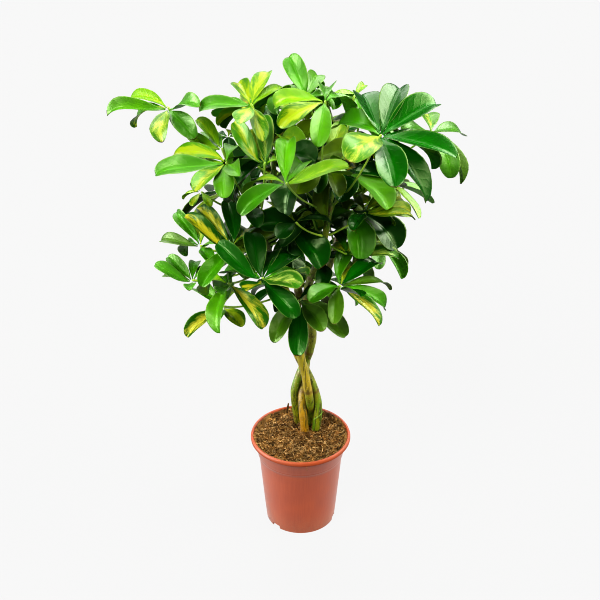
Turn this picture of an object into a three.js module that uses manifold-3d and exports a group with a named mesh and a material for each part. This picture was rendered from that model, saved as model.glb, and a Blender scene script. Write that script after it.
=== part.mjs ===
// Potted umbrella plant: a plastic nursery pot full of coir, four braided stems and a crown of
// umbrella leaves, each with its petiole and its leaflets. Millimetres, +Z up. The pot stands on
// z = 0 with its axis on the Z axis, and the plant is seen from -Y.

import * as THREE from 'three';
import { mergeVertices } from 'three/addons/utils/BufferGeometryUtils.js';
import Module from 'manifold-3d';

const wasm = await Module();
wasm.setup();

// ---- Driving dimensions ----

const GAP = 0.3; // clearance between pieces that touch

const RIM_RADIUS = 85; // a standard 17 cm nursery pot
const POT_HEIGHT = 170;
const FOOT_RADIUS = 59.5;
const SHOULDER_RADIUS = 70.8; // wall under the flared collar
const SHOULDER_HEIGHT = 128;
const RING_HEIGHT = 135; // thin raised ring at the bottom of the collar
const COLLAR_RADIUS = 80.4; // wall right under the lip
const LIP_BAND = 8.5; // height of the rounded lip
const WALL = 1.8;
const FLOOR = 2.4;
const DRAIN_HEIGHT = 7; // raised channel behind the foot ring
const DRAIN_INNER = 46;
const NOTCH_COUNT = 3; // notches through the foot ring
const NOTCH_WIDTH = 16;
const NOTCH_DEPTH = 12; // along the radius
const NOTCH_HEIGHT = 6.2;
const NOTCH_BEARING = -135; // degrees from +X, at the front left
const POT_SIDES = 32;

const SOIL_EDGE = 161.5; // height of the coir against the wall
const SOIL_MOUND = 4.5; // how much higher it lies in the middle
const SOIL_RELIEF = 1.6; // height of its lumps
const SOIL_SIDES = 24;
const SOIL_RINGS = 5;

const STEM_RADIUS = 6.1;
const STEM_TOP_RADIUS = 3.4;
const STEM_TIP_RADIUS = 1.6;
const STEM_TAPER_HEIGHT = 380; // the stems are of one thickness below it
const STEM_DEPTH = 70; // how deep the stems stand in the coir
const STEM_SIDES = 8;
const STEM_STEP = 25; // length of one straight stretch of a stem

const BLADE_THICKNESS = 0.9;
const BLADE_WIDTH = 0.43; // full width as a share of the leaflet's length
const BLADE_ARCH = 0.14; // how far the midrib is pulled up, as a share of its length
const STALK_WIDTH = 1.5; // the leaflet's own short stalk
const LEAFLET_DROOP = -0.1; // rise of most leaflets over the level of their leaf
const PETIOLE_RADIUS = 1.5;
const PETIOLE_FOOT_RADIUS = 2.1;
const PETIOLE_SIDES = 5;
const HUB_RADIUS = 3.4;
const ROOT_SPACING = THREE.MathUtils.degToRad(34); // least turn between two leaflets' roots
const BLADE_CLEARANCE = 1.6; // free space kept around each blade while it grows
const PETIOLE_CLEARANCE = 0.8;
const LEAST_CLEARANCE = 0.1;

const BARE_HEIGHT = 395; // no petiole starts on the stems below it
const FEET_TRIED = 300;
const FEET_APART = 7; // petioles start at least this far apart where they can
const SHORT_PETIOLE = 40;
const LOW_HUB = { height: 440, rise: 0.2 }; // petioles of low leaves are nearly level
const HIGH_HUB = { height: 760, rise: 1.3 }; // and those of high leaves are steep
const YOUNG_HEIGHT = 640; // leaves above it are young and light

const UP = new THREE.Vector3(0, 0, 1);
const CROWN_AXIS = new THREE.Vector3(8, 15, 0);

const MATERIALS = {
  pot: new THREE.MeshStandardMaterial({ color: 0xad5034, roughness: 0.42, metalness: 0 }),
  coir: new THREE.MeshStandardMaterial({ color: 0xa07a46, roughness: 0.95, metalness: 0 }),
  stem: new THREE.MeshStandardMaterial({ color: 0x7f8f1e, roughness: 0.6, metalness: 0 }),
  youngLeaf: new THREE.MeshStandardMaterial({ color: 0x6fae1c, roughness: 0.4, metalness: 0 }),
  leaf: new THREE.MeshStandardMaterial({ color: 0x2f7a17, roughness: 0.35, metalness: 0 }),
};

// ---- The view that the places of the front leaves were read from ----
// A seen place is [across, down] in points of a picture 600 points wide and high.

const VIEW_EYE = new THREE.Vector3(-1, -1805, 1481);
const VIEW_PITCH = THREE.MathUtils.degToRad(30.14);
const VIEW_FOCAL = 1300;
const VIEW_CENTRE = 300;

function sightLine([across, down]) {
  const right = (across - VIEW_CENTRE) / VIEW_FOCAL;
  const rise = (VIEW_CENTRE - down) / VIEW_FOCAL;
  const cos = Math.cos(VIEW_PITCH);
  const sin = Math.sin(VIEW_PITCH);
  return new THREE.Vector3(right, cos + rise * sin, rise * cos - sin);
}

// The point behind a seen place that lies at the given Y.
function seenAtDepth(place, depth) {
  const line = sightLine(place);
  return line.clone().multiplyScalar((depth - VIEW_EYE.y) / line.y).add(VIEW_EYE);
}

// ---- Leaves that the view shows: hub, depth of the hub, leaflet length, tips, and how far the
// leaf's axis leans from the vertical along X and Y ----

const SEEN_LEAVES = [
  { name: 'leaf_big_right', hub: [381, 136], depth: -130, length: 108, lean: [0.15, -0.25],
    tips: [[361, 89], [397, 96], [439, 99], [459, 157], [441, 162], [430, 203], [396, 187],
      [350, 156], [333, 124]] },
  { name: 'leaf_young_front', hub: [286, 184], depth: -165, length: 84, lean: [0.05, -0.2],
    tips: [[287, 133], [243, 190], [237, 214], [352, 143], [351, 163], [307, 158]] },
  { name: 'leaf_top', hub: [325, 102], depth: -85, length: 84, lean: [0, -0.3],
    tips: [[268, 104], [278, 126], [318, 147], [356, 100], [328, 87]] },
  { name: 'leaf_top_upright', hub: [306, 99], depth: -30, length: 76, lean: [0.15, -0.35],
    tips: [[287, 54], [270, 92], [318, 74], [345, 92]] },
  { name: 'leaf_front_low', hub: [262, 279], depth: -155, length: 86, lean: [0, -0.45],
    tips: [[215, 256], [252, 228], [273, 248], [297, 252], [308, 272], [306, 293], [298, 318],
      [246, 291], [222, 272]] },
  { name: 'leaf_low_yellow', hub: [228, 284], depth: -125, length: 90, lean: [-0.1, -0.4],
    tips: [[268, 328], [212, 332], [224, 306], [196, 281], [246, 262], [213, 262]] },
  { name: 'leaf_left_yellow', hub: [226, 163], depth: -120, length: 84, lean: [-0.15, -0.45],
    tips: [[171, 151], [152, 172], [173, 162], [194, 191], [224, 199], [245, 196], [240, 147]] },
  { name: 'leaf_right_bottom', hub: [341, 286], depth: -100, length: 88, lean: [0.2, -0.35],
    tips: [[345, 256], [361, 257], [378, 265], [388, 291], [390, 308], [384, 325], [360, 320],
      [309, 300], [340, 303]] },
  { name: 'leaf_bottom_front', hub: [299, 300], depth: -95, length: 96, lean: [0, -0.45],
    tips: [[298, 357], [335, 316], [323, 330], [273, 340], [264, 313], [322, 288]] },
  { name: 'leaf_left_bottom', hub: [223, 307], depth: -70, length: 78, lean: [-0.2, -0.35],
    tips: [[184, 336], [193, 284], [238, 315], [213, 322], [240, 291]] },
  { name: 'leaf_left_middle', hub: [232, 245], depth: -110, length: 84, lean: [-0.15, -0.4],
    tips: [[184, 212], [197, 203], [216, 204], [228, 200], [200, 234], [214, 262], [250, 228]] },
  { name: 'leaf_far_left', hub: [168, 109], depth: -20, length: 84, lean: [-0.1, -0.35],
    tips: [[102, 109], [127, 97], [131, 124], [158, 139], [194, 137], [203, 112]] },
  { name: 'leaf_top_left', hub: [251, 106], depth: -60, length: 76, lean: [-0.1, -0.35],
    tips: [[195, 106], [237, 81], [269, 78], [289, 86], [262, 132], [240, 124], [214, 114]] },
  { name: 'leaf_upright_left', hub: [265, 163], depth: -110, length: 78, lean: [0, -0.1],
    tips: [[233, 121], [243, 123], [262, 130], [281, 131], [236, 169], [286, 168]] },
  { name: 'leaf_far_right', hub: [431, 133], depth: 0, length: 84, lean: [0.35, -0.1],
    tips: [[464, 134], [452, 178], [466, 184], [424, 112], [404, 128]] },
  { name: 'leaf_right_upper', hub: [366, 212], depth: -60, length: 76, lean: [0.1, -0.4],
    tips: [[403, 202], [419, 204], [418, 214], [396, 223], [352, 228], [345, 205]] },
  { name: 'leaf_right_dark', hub: [363, 192], depth: -10, length: 62, lean: [0.1, -0.35],
    tips: [[341, 168], [338, 197], [363, 211], [388, 190], [384, 176]] },
  { name: 'leaf_right_low', hub: [347, 253], depth: -50, length: 86, lean: [0.1, -0.35],
    tips: [[379, 225], [403, 254], [391, 263], [322, 246], [331, 228], [372, 236]] },
  { name: 'leaf_left_outer', hub: [200, 246], depth: -40, length: 74, lean: [-0.15, -0.35],
    tips: [[172, 209], [158, 238], [183, 252], [197, 221], [212, 262]] },
  { name: 'leaf_left_low', hub: [192, 281], depth: -60, length: 60, lean: [-0.15, -0.3],
    tips: [[167, 256], [154, 264], [161, 269], [191, 297], [197, 258], [210, 270]] },
  { name: 'leaf_left_small', hub: [222, 149], depth: -60, length: 56, lean: [-0.1, -0.3],
    tips: [[185, 141], [190, 149], [203, 131], [200, 114], [239, 150]] },
  { name: 'leaf_left_lime', hub: [201, 192], depth: -60, length: 34, lean: [-0.1, -0.3],
    tips: [[182, 198], [191, 206], [211, 206], [192, 184]] },
  { name: 'leaf_top_right', hub: [354, 97], depth: 10, length: 42, lean: [0.1, -0.3],
    tips: [[366, 83], [361, 120], [331, 107]] },
  { name: 'leaf_young_middle', hub: [296, 222], depth: -105, length: 66, lean: [0, -0.3],
    tips: [[334, 204], [268, 197], [322, 224], [276, 238]] },
  { name: 'leaf_inner_yellow', hub: [328, 165], depth: -50, length: 80, lean: [0, -0.4],
    tips: [[321, 197], [340, 196], [300, 188], [352, 176], [308, 145], [341, 140]] },
  { name: 'leaf_inner_dark', hub: [312, 215], depth: -55, length: 80, lean: [0, -0.4],
    tips: [[314, 250], [340, 227], [288, 240], [338, 195], [292, 195], [315, 185]] },
  { name: 'leaf_inner_left', hub: [250, 205], depth: -50, length: 80, lean: [-0.1, -0.4],
    tips: [[228, 232], [262, 243], [240, 175], [274, 184], [215, 205]] },
  { name: 'leaf_inner_low', hub: [322, 262], depth: -35, length: 80, lean: [0.1, -0.4],
    tips: [[338, 277], [346, 245], [316, 295], [292, 245], [320, 232]] },
];

// ---- Leaves that the view hides: rows around the crown, by height, distance from its axis,
// bearings from +X in degrees, count and leaflet length ----

const HIDDEN_ROWS = [
  { name: 'leaf_rear_top', height: 742, reach: 66, from: 35, to: 145, count: 2, length: 80 },
  { name: 'leaf_rear_high', height: 690, reach: 135, from: 15, to: 160, count: 5, length: 88 },
  { name: 'leaf_rear_middle', height: 600, reach: 150, from: 10, to: 170, count: 5, length: 92 },
  { name: 'leaf_rear_low', height: 510, reach: 115, from: 10, to: 170, count: 4, length: 90 },
  { name: 'leaf_rear_bottom', height: 440, reach: 65, from: 20, to: 150, count: 2, length: 80 },
  { name: 'leaf_inside_high', height: 690, reach: 60, from: -160, to: 60, count: 4, length: 88 },
  { name: 'leaf_inside_low', height: 570, reach: 65, from: -150, to: 70, count: 4, length: 88 },
];
const HIDDEN_LEAFLETS = 7;
const HIDDEN_SEED = 19;

// ---- The stems: the braided trunk, then the spread inside the crown ----

const STEM_PATHS = {
  stem_left: [[-3, 43, 150], [-7, 37, 191], [-9.5, 29, 220], [-9.5, 24, 246], [-4, 25, 266],
    [4, 30.5, 285], [12, 30, 308], [18.5, 24, 340], [19, 14, 366], [16, 3, 395], [10, -7, 424],
    [12, -22, 470], [27, -44, 530], [40, -60, 600], [46, -70, 668]],
  stem_right: [[23, 18, 150], [29, 14, 192], [29.5, 15, 220], [24, 17, 246], [16, 17, 270],
    [7, 17, 292], [-3, 17, 314], [-11.5, 19, 337], [-13, 27, 360], [-9.5, 38, 384], [-3, 46, 406],
    [-10, 60, 452], [-26, 75, 512], [-40, 90, 590], [-46, 98, 652]],
  stem_middle: [[17, 37, 150], [16.5, 25, 195], [16, 9, 228], [11.5, 2, 262], [5.5, 3, 298],
    [-1, 3, 330], [-3, 3, 354], [-1, 8, 376], [7, 18, 397], [21, 26, 420], [40, 34, 462],
    [60, 47, 520], [76, 61, 600], [84, 71, 660]],
  stem_front: [[9.5, 15, 150], [4.5, 10.5, 198], [2.5, 14, 226], [4, 27.5, 250], [7.5, 43, 273],
    [11, 46, 304], [12, 43, 331], [7, 35, 360], [-4, 24, 390], [-15, 15, 419], [-32, 4, 468],
    [-50, -16, 530], [-64, -34, 600], [-70, -42, 648]],
};
// ---- Small helpers ----

const vector = ([x, y, z]) => new THREE.Vector3(x, y, z);
const radians = THREE.MathUtils.degToRad;
const mix = THREE.MathUtils.lerp;

// The same seeded draws each time, from 0 to 1.
function makeDraw(seed) {
  let state = seed;
  return () => {
    state = (Math.imul(state, 1664525) + 1013904223) >>> 0;
    return state / 4294967296;
  };
}

// The part of a vector square to a direction, one unit long.
function squareTo(source, direction) {
  return source.clone().addScaledVector(direction, -source.dot(direction)).normalize();
}

function toSolid(geometry) {
  geometry.deleteAttribute('normal');
  geometry.deleteAttribute('uv');
  const merged = mergeVertices(geometry, 1e-4);
  const corners = merged.index.array;
  const faces = [];
  for (let i = 0; i < corners.length; i += 3) {
    const [a, b, c] = corners.slice(i, i + 3);
    if (a !== b && b !== c && c !== a) faces.push(a, b, c);
  }
  const vertProperties = Float32Array.from(merged.attributes.position.array);
  const triVerts = Uint32Array.from(faces);
  return new wasm.Manifold(new wasm.Mesh({ numProp: 3, vertProperties, triVerts }));
}

function toGeometry(solid) {
  const { vertProperties, triVerts } = solid.getMesh();
  const geometry = new THREE.BufferGeometry();
  geometry.setAttribute('position', new THREE.BufferAttribute(vertProperties, 3));
  geometry.setIndex(new THREE.BufferAttribute(triVerts, 1));
  return geometry;
}

// A closed skin over rings that have the same number of points, each ring going
// counterclockwise as seen from the end of the row.
function skin(rings) {
  const sides = rings[0].length;
  const positions = rings.flat().flatMap((p) => [p.x, p.y, p.z]);
  const faces = [];
  for (let row = 0; row + 1 < rings.length; row += 1) {
    for (let side = 0; side < sides; side += 1) {
      const here = row * sides + side;
      const next = row * sides + ((side + 1) % sides);
      faces.push(here, next, next + sides, here, next + sides, here + sides);
    }
  }
  const last = (rings.length - 1) * sides;
  for (let side = 1; side + 1 < sides; side += 1) {
    faces.push(0, side + 1, side);
    faces.push(last, last + side, last + side + 1);
  }
  const geometry = new THREE.BufferGeometry();
  geometry.setAttribute('position', new THREE.Float32BufferAttribute(positions, 3));
  geometry.setIndex(faces);
  return geometry;
}

// A round bar through points, with a radius at each one. Its rings don't twist.
function barRings(points, radii, sides, firstDirection) {
  const rings = [];
  let across = null;
  points.forEach((point, i) => {
    const before = points[Math.max(i - 1, 0)];
    const after = points[Math.min(i + 1, points.length - 1)];
    let along = after.clone().sub(before).normalize();
    if (i === 0 && firstDirection) along = firstDirection.clone();
    const start = across ?? (Math.abs(along.z) < 0.9 ? UP : new THREE.Vector3(1, 0, 0));
    across = squareTo(start, along);
    const other = along.clone().cross(across);
    const ring = [];
    for (let side = 0; side < sides; side += 1) {
      const angle = (side / sides) * 2 * Math.PI;
      ring.push(point.clone()
        .addScaledVector(across, radii[i] * Math.cos(angle))
        .addScaledVector(other, radii[i] * Math.sin(angle)));
    }
    rings.push(ring);
  });
  return rings;
}

// ---- Pot ----

// The pot's section as [radius, height], from the middle of the base out, up and back down inside.
function potProfile() {
  const insideFoot = FOOT_RADIUS - WALL;
  const lipFoot = POT_HEIGHT - LIP_BAND;
  const flare = { radius: SHOULDER_RADIUS + 5.2, height: RING_HEIGHT + 12 }; // half way up the collar
  const base = [[0, 0], [DRAIN_INNER, 0], [DRAIN_INNER + 1.5, DRAIN_HEIGHT],
    [insideFoot - 0.6, DRAIN_HEIGHT], [insideFoot, 0], [FOOT_RADIUS, 0]];
  const ring = [[SHOULDER_RADIUS, SHOULDER_HEIGHT], [SHOULDER_RADIUS + 1.3, RING_HEIGHT - 1],
    [SHOULDER_RADIUS + 2.3, RING_HEIGHT], [SHOULDER_RADIUS + 2.4, RING_HEIGHT + 1.4]];
  const collar = [[flare.radius, flare.height], [COLLAR_RADIUS, lipFoot]];
  const lip = [[RIM_RADIUS - 1.2, lipFoot + 0.4], [RIM_RADIUS, lipFoot + 3],
    [RIM_RADIUS - 0.4, POT_HEIGHT - 1.6], [RIM_RADIUS - 2.2, POT_HEIGHT],
    [RIM_RADIUS - 4.4, POT_HEIGHT - 1]];
  const inside = [[COLLAR_RADIUS - WALL, lipFoot - 2], [flare.radius - WALL, flare.height],
    [SHOULDER_RADIUS + 1 - WALL, RING_HEIGHT], [SHOULDER_RADIUS - WALL, SHOULDER_HEIGHT]];
  const floor = [[insideFoot + 0.6, DRAIN_HEIGHT + FLOOR], [DRAIN_INNER - 0.5, DRAIN_HEIGHT + FLOOR],
    [DRAIN_INNER - 2.5, FLOOR], [0, FLOOR]];
  return [...base, ...ring, ...collar, ...lip, ...inside, ...floor];
}

function makePot() {
  const outline = potProfile().map(([r, z]) => new THREE.Vector2(r, z));
  let solid = toSolid(new THREE.LatheGeometry(outline, POT_SIDES).rotateX(Math.PI / 2));
  for (let i = 0; i < NOTCH_COUNT; i += 1) {
    const notch = new THREE.BoxGeometry(NOTCH_DEPTH, NOTCH_WIDTH, 2 * NOTCH_HEIGHT);
    notch.translate(FOOT_RADIUS, 0, 0);
    notch.rotateZ(radians(NOTCH_BEARING + (360 * i) / NOTCH_COUNT));
    solid = solid.subtract(toSolid(notch));
  }
  return toGeometry(solid);
}

// ---- Stems ----

// The straight stretches of one stem: points, radii and total length.
function stemLine(name) {
  const curve = new THREE.CatmullRomCurve3(STEM_PATHS[name].map(vector), false, 'centripetal');
  const count = Math.round(curve.getLength() / STEM_STEP);
  const points = curve.getSpacedPoints(count);
  const start = points[0];
  points.unshift(start.clone().setZ(start.z - STEM_DEPTH));
  const taperEnd = points[points.length - 1].z + 60; // past the tip, so the taper isn't complete
  const radii = points.map((p) => mix(STEM_RADIUS, STEM_TOP_RADIUS,
    THREE.MathUtils.smoothstep(p.z, STEM_TAPER_HEIGHT, taperEnd)));
  radii[radii.length - 1] = STEM_TIP_RADIUS;
  return { points, radii };
}

const STEM_NAMES = Object.keys(STEM_PATHS);
const STEM_LINES = Object.fromEntries(STEM_NAMES.map((name) => [name, stemLine(name)]));

function stemSolid(name, extra = 0) {
  const { points, radii } = STEM_LINES[name];
  const [foot, ...rest] = points;
  const spine = [foot.clone().addScaledVector(UP, -extra), ...rest];
  return toSolid(skin(barRings(spine, radii.map((r) => r + extra), STEM_SIDES)));
}

// ---- Soil ----

// Height of the coir's lumps at a place, from crossing waves.
function soilRelief(x, y) {
  const long = Math.sin(x * 0.11 + 1.7) * Math.cos(y * 0.13 - 0.4);
  const short = Math.sin(x * 0.31 - y * 0.22) * Math.cos(y * 0.37 + x * 0.18 + 2.1);
  return SOIL_RELIEF * (0.6 * long + 0.4 * short);
}

// The section of the coir follows the inside of the pot, a gap away from it.
function makeSoil() {
  const floor = DRAIN_HEIGHT + FLOOR + GAP;
  const wallAt = (z) => mix(FOOT_RADIUS, SHOULDER_RADIUS, z / SHOULDER_HEIGHT) - WALL - 2 * GAP;
  const edge = { radius: COLLAR_RADIUS - WALL - 1, height: SOIL_EDGE - 2 };
  const outline = [
    [0, floor], [wallAt(floor) - 0.5, floor], [wallAt(SHOULDER_HEIGHT), SHOULDER_HEIGHT],
    [SHOULDER_RADIUS + 1 - WALL - 2 * GAP, RING_HEIGHT],
    [SHOULDER_RADIUS + 4.6 - WALL - GAP, RING_HEIGHT + 12],
  ];
  const rise = SOIL_EDGE + SOIL_MOUND - edge.height;
  for (let ring = 0; ring <= SOIL_RINGS; ring += 1) {
    const share = 1 - ring / SOIL_RINGS;
    outline.push([edge.radius * share, edge.height + rise * (1 - share ** 2)]);
  }
  const profile = outline.map(([r, z]) => new THREE.Vector2(r, z));
  const body = new THREE.LatheGeometry(profile, SOIL_SIDES).rotateX(Math.PI / 2);
  const places = body.attributes.position;
  for (let i = 0; i < places.count; i += 1) {
    const [x, y, z] = [places.getX(i), places.getY(i), places.getZ(i)];
    const inside = 1 - (Math.hypot(x, y) / edge.radius) ** 4; // no lumps right at the wall
    if (z > edge.height + GAP / 2 && inside > 0) places.setZ(i, z + inside * soilRelief(x, y));
  }
  let solid = toSolid(body);
  for (const name of STEM_NAMES) solid = solid.subtract(stemSolid(name, GAP));
  return toGeometry(solid);
}

// ---- Growing the leaves without crossings ----

// Everything grown so far: solids with their boxes, the leaf they belong to and which part of it.
const grown = [];

function record(owner, part, geometry) {
  geometry.computeBoundingBox();
  grown.push({ owner, part, box: geometry.boundingBox.clone(), solid: toSolid(geometry) });
}

function isClear(geometry, matters) {
  geometry.computeBoundingBox();
  const near = grown.filter((g) => matters(g) && g.box.intersectsBox(geometry.boundingBox));
  if (near.length === 0) return true;
  const trial = toSolid(geometry);
  return near.every((g) => trial.intersect(g.solid).isEmpty());
}

// ---- Leaf blades ----

// Places along a leaflet's midrib with the blade's width there: shares of the midrib's curve and
// of the full width.
const BLADE_STATIONS = [[0, 0], [0.3, 0.4], [0.62, 1], [0.88, 0.76], [1, 0]];

// The directions square to a leaf's axis that bearings around it are measured in.
function leafCompass(leaf) {
  const ahead = squareTo(new THREE.Vector3(0, -1, 0), leaf.axis);
  const aside = leaf.axis.clone().cross(ahead);
  return { ahead, aside };
}

function rootDirection(leaf, bearing) {
  const { ahead, aside } = leafCompass(leaf);
  return ahead.multiplyScalar(Math.cos(bearing)).addScaledVector(aside, Math.sin(bearing));
}

// Bearings of the leaflets' roots around the hub: those of their tips, pushed apart where two
// roots would touch. The tips are put in the order of their bearings.
function spreadRoots(leaf) {
  const { ahead, aside } = leafCompass(leaf);
  const bearingOf = (tip) => {
    const reach = tip.clone().sub(leaf.hub);
    return Math.atan2(reach.dot(aside), reach.dot(ahead));
  };
  leaf.tips.sort((a, b) => bearingOf(a) - bearingOf(b));
  leaf.roots = leaf.tips.map(bearingOf);
  const count = leaf.roots.length;
  for (let round = 0; round < 60; round += 1) {
    for (let i = 0; i < count; i += 1) {
      const next = (i + 1) % count;
      const turn = next === 0 ? 2 * Math.PI : 0;
      const lack = ROOT_SPACING - (leaf.roots[next] + turn - leaf.roots[i]);
      if (lack > 0) {
        leaf.roots[i] -= lack / 2;
        leaf.roots[next] += lack / 2;
      }
    }
  }
}

// The four corners of a leaflet's section at each station: first and last side, top and bottom.
function bladeSections(leaf, bearing, tip, extra = 0) {
  const outward = rootDirection(leaf, bearing);
  const root = leaf.hub.clone().addScaledVector(outward, HUB_RADIUS - extra / 2);
  const reach = tip.clone().sub(root);
  const length = reach.length();
  const face = squareTo(leaf.axis, reach.clone().normalize());
  const curve = new THREE.CubicBezierCurve3(root,
    root.clone().addScaledVector(outward, 0.3 * length).addScaledVector(face, BLADE_ARCH * length),
    root.clone().addScaledVector(reach, 0.7).addScaledVector(face, BLADE_ARCH * length), tip);
  return BLADE_STATIONS.map(([share, width]) => {
    const centre = curve.getPoint(share);
    const along = share === 0 ? outward : curve.getTangent(share);
    const upward = share === 0 ? leaf.axis : face;
    const side = upward.clone().cross(along).normalize();
    const up = along.clone().cross(side);
    const tapers = share === 1 ? 0 : STALK_WIDTH;
    const half = Math.max(tapers, width * BLADE_WIDTH * length) / 2 + extra;
    const rise = BLADE_THICKNESS / 2 + extra;
    return {
      firstTop: centre.clone().addScaledVector(side, -half).addScaledVector(up, rise),
      lastTop: centre.clone().addScaledVector(side, half).addScaledVector(up, rise),
      firstBottom: centre.clone().addScaledVector(side, -half).addScaledVector(up, -rise),
      lastBottom: centre.clone().addScaledVector(side, half).addScaledVector(up, -rise),
    };
  });
}

// Triangles as corner triples. Both faces of a blade are split alike.
function bladeTriangles(sections) {
  const triangles = [];
  for (let i = 0; i + 1 < sections.length; i += 1) {
    const a = sections[i];
    const b = sections[i + 1];
    triangles.push([a.firstTop, b.firstTop, b.lastTop], [a.firstTop, b.lastTop, a.lastTop]);
    triangles.push([a.firstBottom, b.lastBottom, b.firstBottom]);
    triangles.push([a.firstBottom, a.lastBottom, b.lastBottom]);
    triangles.push([a.firstTop, a.firstBottom, b.firstBottom]);
    triangles.push([a.firstTop, b.firstBottom, b.firstTop]);
    triangles.push([a.lastTop, b.lastTop, b.lastBottom]);
    triangles.push([a.lastTop, b.lastBottom, a.lastBottom]);
  }
  return triangles;
}

function fromTriangles(triangles) {
  const positions = triangles.flat().flatMap((p) => [p.x, p.y, p.z]);
  const geometry = new THREE.BufferGeometry();
  geometry.setAttribute('position', new THREE.Float32BufferAttribute(positions, 3));
  return geometry;
}

// One leaflet closed at its root and tip, for the tests of free space.
function bladeGeometry(leaf, bearing, tip, extra) {
  const sections = bladeSections(leaf, bearing, tip, extra);
  const root = sections[0];
  const end = sections[sections.length - 1];
  return fromTriangles([...bladeTriangles(sections),
    [root.firstTop, root.lastTop, root.lastBottom],
    [root.firstTop, root.lastBottom, root.firstBottom],
    [end.firstTop, end.lastBottom, end.lastTop],
    [end.firstTop, end.firstBottom, end.lastBottom]]);
}

// ---- Petioles ----

// Places along a petiole, as shares of its curve, with its radius there.
const PETIOLE_STATIONS = [[0, PETIOLE_FOOT_RADIUS], [0.3, PETIOLE_RADIUS], [0.68, PETIOLE_RADIUS]];

function petioleRings(leaf, foot, extra = 0) {
  const reach = foot.place.distanceTo(leaf.hub);
  const curve = new THREE.CubicBezierCurve3(foot.place,
    foot.place.clone().addScaledVector(foot.outward, 0.3 * reach),
    leaf.hub.clone().addScaledVector(leaf.axis, -0.4 * reach), leaf.hub);
  const points = PETIOLE_STATIONS.map(([share]) => curve.getPoint(share));
  points.push(leaf.hub.clone().addScaledVector(leaf.axis, -HUB_RADIUS));
  const radii = [...PETIOLE_STATIONS.map(([, radius]) => radius), HUB_RADIUS - 0.8];
  return barRings(points, radii.map((r) => r + extra), PETIOLE_SIDES, foot.outward);
}

// How badly a petiole would suit a place on a stem: a long way to the hub, a slope that isn't
// usual at its height, or neighbours too near.
function footCost(leaf, place) {
  const reach = leaf.hub.clone().sub(place);
  const height = THREE.MathUtils.smoothstep(leaf.hub.z, LOW_HUB.height, HIGH_HUB.height);
  const usual = Math.atan(mix(LOW_HUB.rise, HIGH_HUB.rise, height));
  const slope = Math.atan2(reach.z, Math.hypot(reach.x, reach.y));
  const crowd = takenFeet.filter((taken) => taken.distanceTo(place) < FEET_APART).length;
  const short = reach.length() < SHORT_PETIOLE ? 1 : 0;
  return reach.length() + 90 * Math.abs(slope - usual) + 400 * crowd + 100 * short;
}

// Every place on the stems where a petiole could start, the best first.
function petioleFeet(leaf) {
  const feet = [];
  for (const { points, radii } of Object.values(STEM_LINES)) {
    for (let i = 0; i + 2 < points.length; i += 1) {
      const along = points[i + 1].clone().sub(points[i]).normalize();
      const radius = Math.max(radii[i], radii[i + 1]);
      for (const share of [0, 1 / 3, 2 / 3]) {
        const centre = points[i].clone().lerp(points[i + 1], share);
        if (centre.z < BARE_HEIGHT) continue;
        const outward = squareTo(leaf.hub.clone().sub(centre), along);
        const place = centre.clone().addScaledVector(outward, radius + GAP);
        feet.push({ place, outward, cost: footCost(leaf, place) });
      }
    }
  }
  return feet.sort((a, b) => a.cost - b.cost).slice(0, FEET_TRIED);
}

// ---- Leaf list ----

// Where a leaflet seen to end at a place really ends: on the sight line, one leaflet length
// from the hub, on the side that keeps the leaflet nearest to square to the leaf's axis.
function seenTip(leaf, place) {
  const line = sightLine(place).normalize();
  const toHub = leaf.hub.clone().sub(VIEW_EYE);
  const along = toHub.dot(line);
  const miss = toHub.clone().addScaledVector(line, -along).length();
  const step = Math.sqrt(Math.max(leaf.length ** 2 - miss ** 2, 0));
  const ends = [along - step, along + step].map((d) => VIEW_EYE.clone().addScaledVector(line, d));
  const [near, far] = ends.map((end) => {
    const rise = end.clone().sub(leaf.hub).normalize().dot(leaf.axis);
    return Math.abs(rise - LEAFLET_DROOP);
  });
  return near < far ? ends[0] : ends[1];
}

function leafAxis([leanX, leanY]) {
  return new THREE.Vector3(leanX, leanY, 1).normalize();
}

function seenLeaves() {
  return SEEN_LEAVES.map(({ name, hub, depth, length, lean, tips }) => {
    const leaf = { name, hub: seenAtDepth(hub, depth), axis: leafAxis(lean), length };
    leaf.tips = tips.map((place) => seenTip(leaf, place));
    return leaf;
  });
}

// A whole leaf by rule: leaflets all around the hub, the outward ones longest.
function wheelTips(leaf, outward, draw) {
  const first = squareTo(outward, leaf.axis);
  const second = leaf.axis.clone().cross(first);
  const spin = draw() * 2 * Math.PI;
  const tips = [];
  for (let i = 0; i < HIDDEN_LEAFLETS; i += 1) {
    const angle = spin + ((i + 0.3 * (draw() - 0.5)) / HIDDEN_LEAFLETS) * 2 * Math.PI;
    const droop = 0.15 + 0.35 * draw();
    const direction = first.clone().multiplyScalar(Math.cos(angle))
      .addScaledVector(second, Math.sin(angle)).addScaledVector(leaf.axis, -droop).normalize();
    const length = leaf.length * (0.82 + 0.14 * Math.cos(angle) + 0.08 * draw());
    tips.push(leaf.hub.clone().addScaledVector(direction, length));
  }
  return tips;
}

function hiddenLeaves() {
  const draw = makeDraw(HIDDEN_SEED);
  const leaves = [];
  for (const row of HIDDEN_ROWS) {
    for (let i = 0; i < row.count; i += 1) {
      const share = (i + 0.5 + 0.4 * (draw() - 0.5)) / row.count;
      const bearing = radians(mix(row.from, row.to, share));
      const outward = new THREE.Vector3(Math.cos(bearing), Math.sin(bearing), 0);
      const reach = row.reach * (0.85 + 0.3 * draw());
      const hub = CROWN_AXIS.clone().addScaledVector(outward, reach);
      hub.z = row.height + 50 * (draw() - 0.5);
      const axis = outward.clone().multiplyScalar(0.15 + 0.3 * draw()).add(UP).normalize();
      const leaf = { name: `${row.name}_${i + 1}`, hub, axis, length: row.length };
      leaf.tips = wheelTips(leaf, outward, draw);
      leaves.push(leaf);
    }
  }
  return leaves;
}

// ---- Leaves ----

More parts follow.
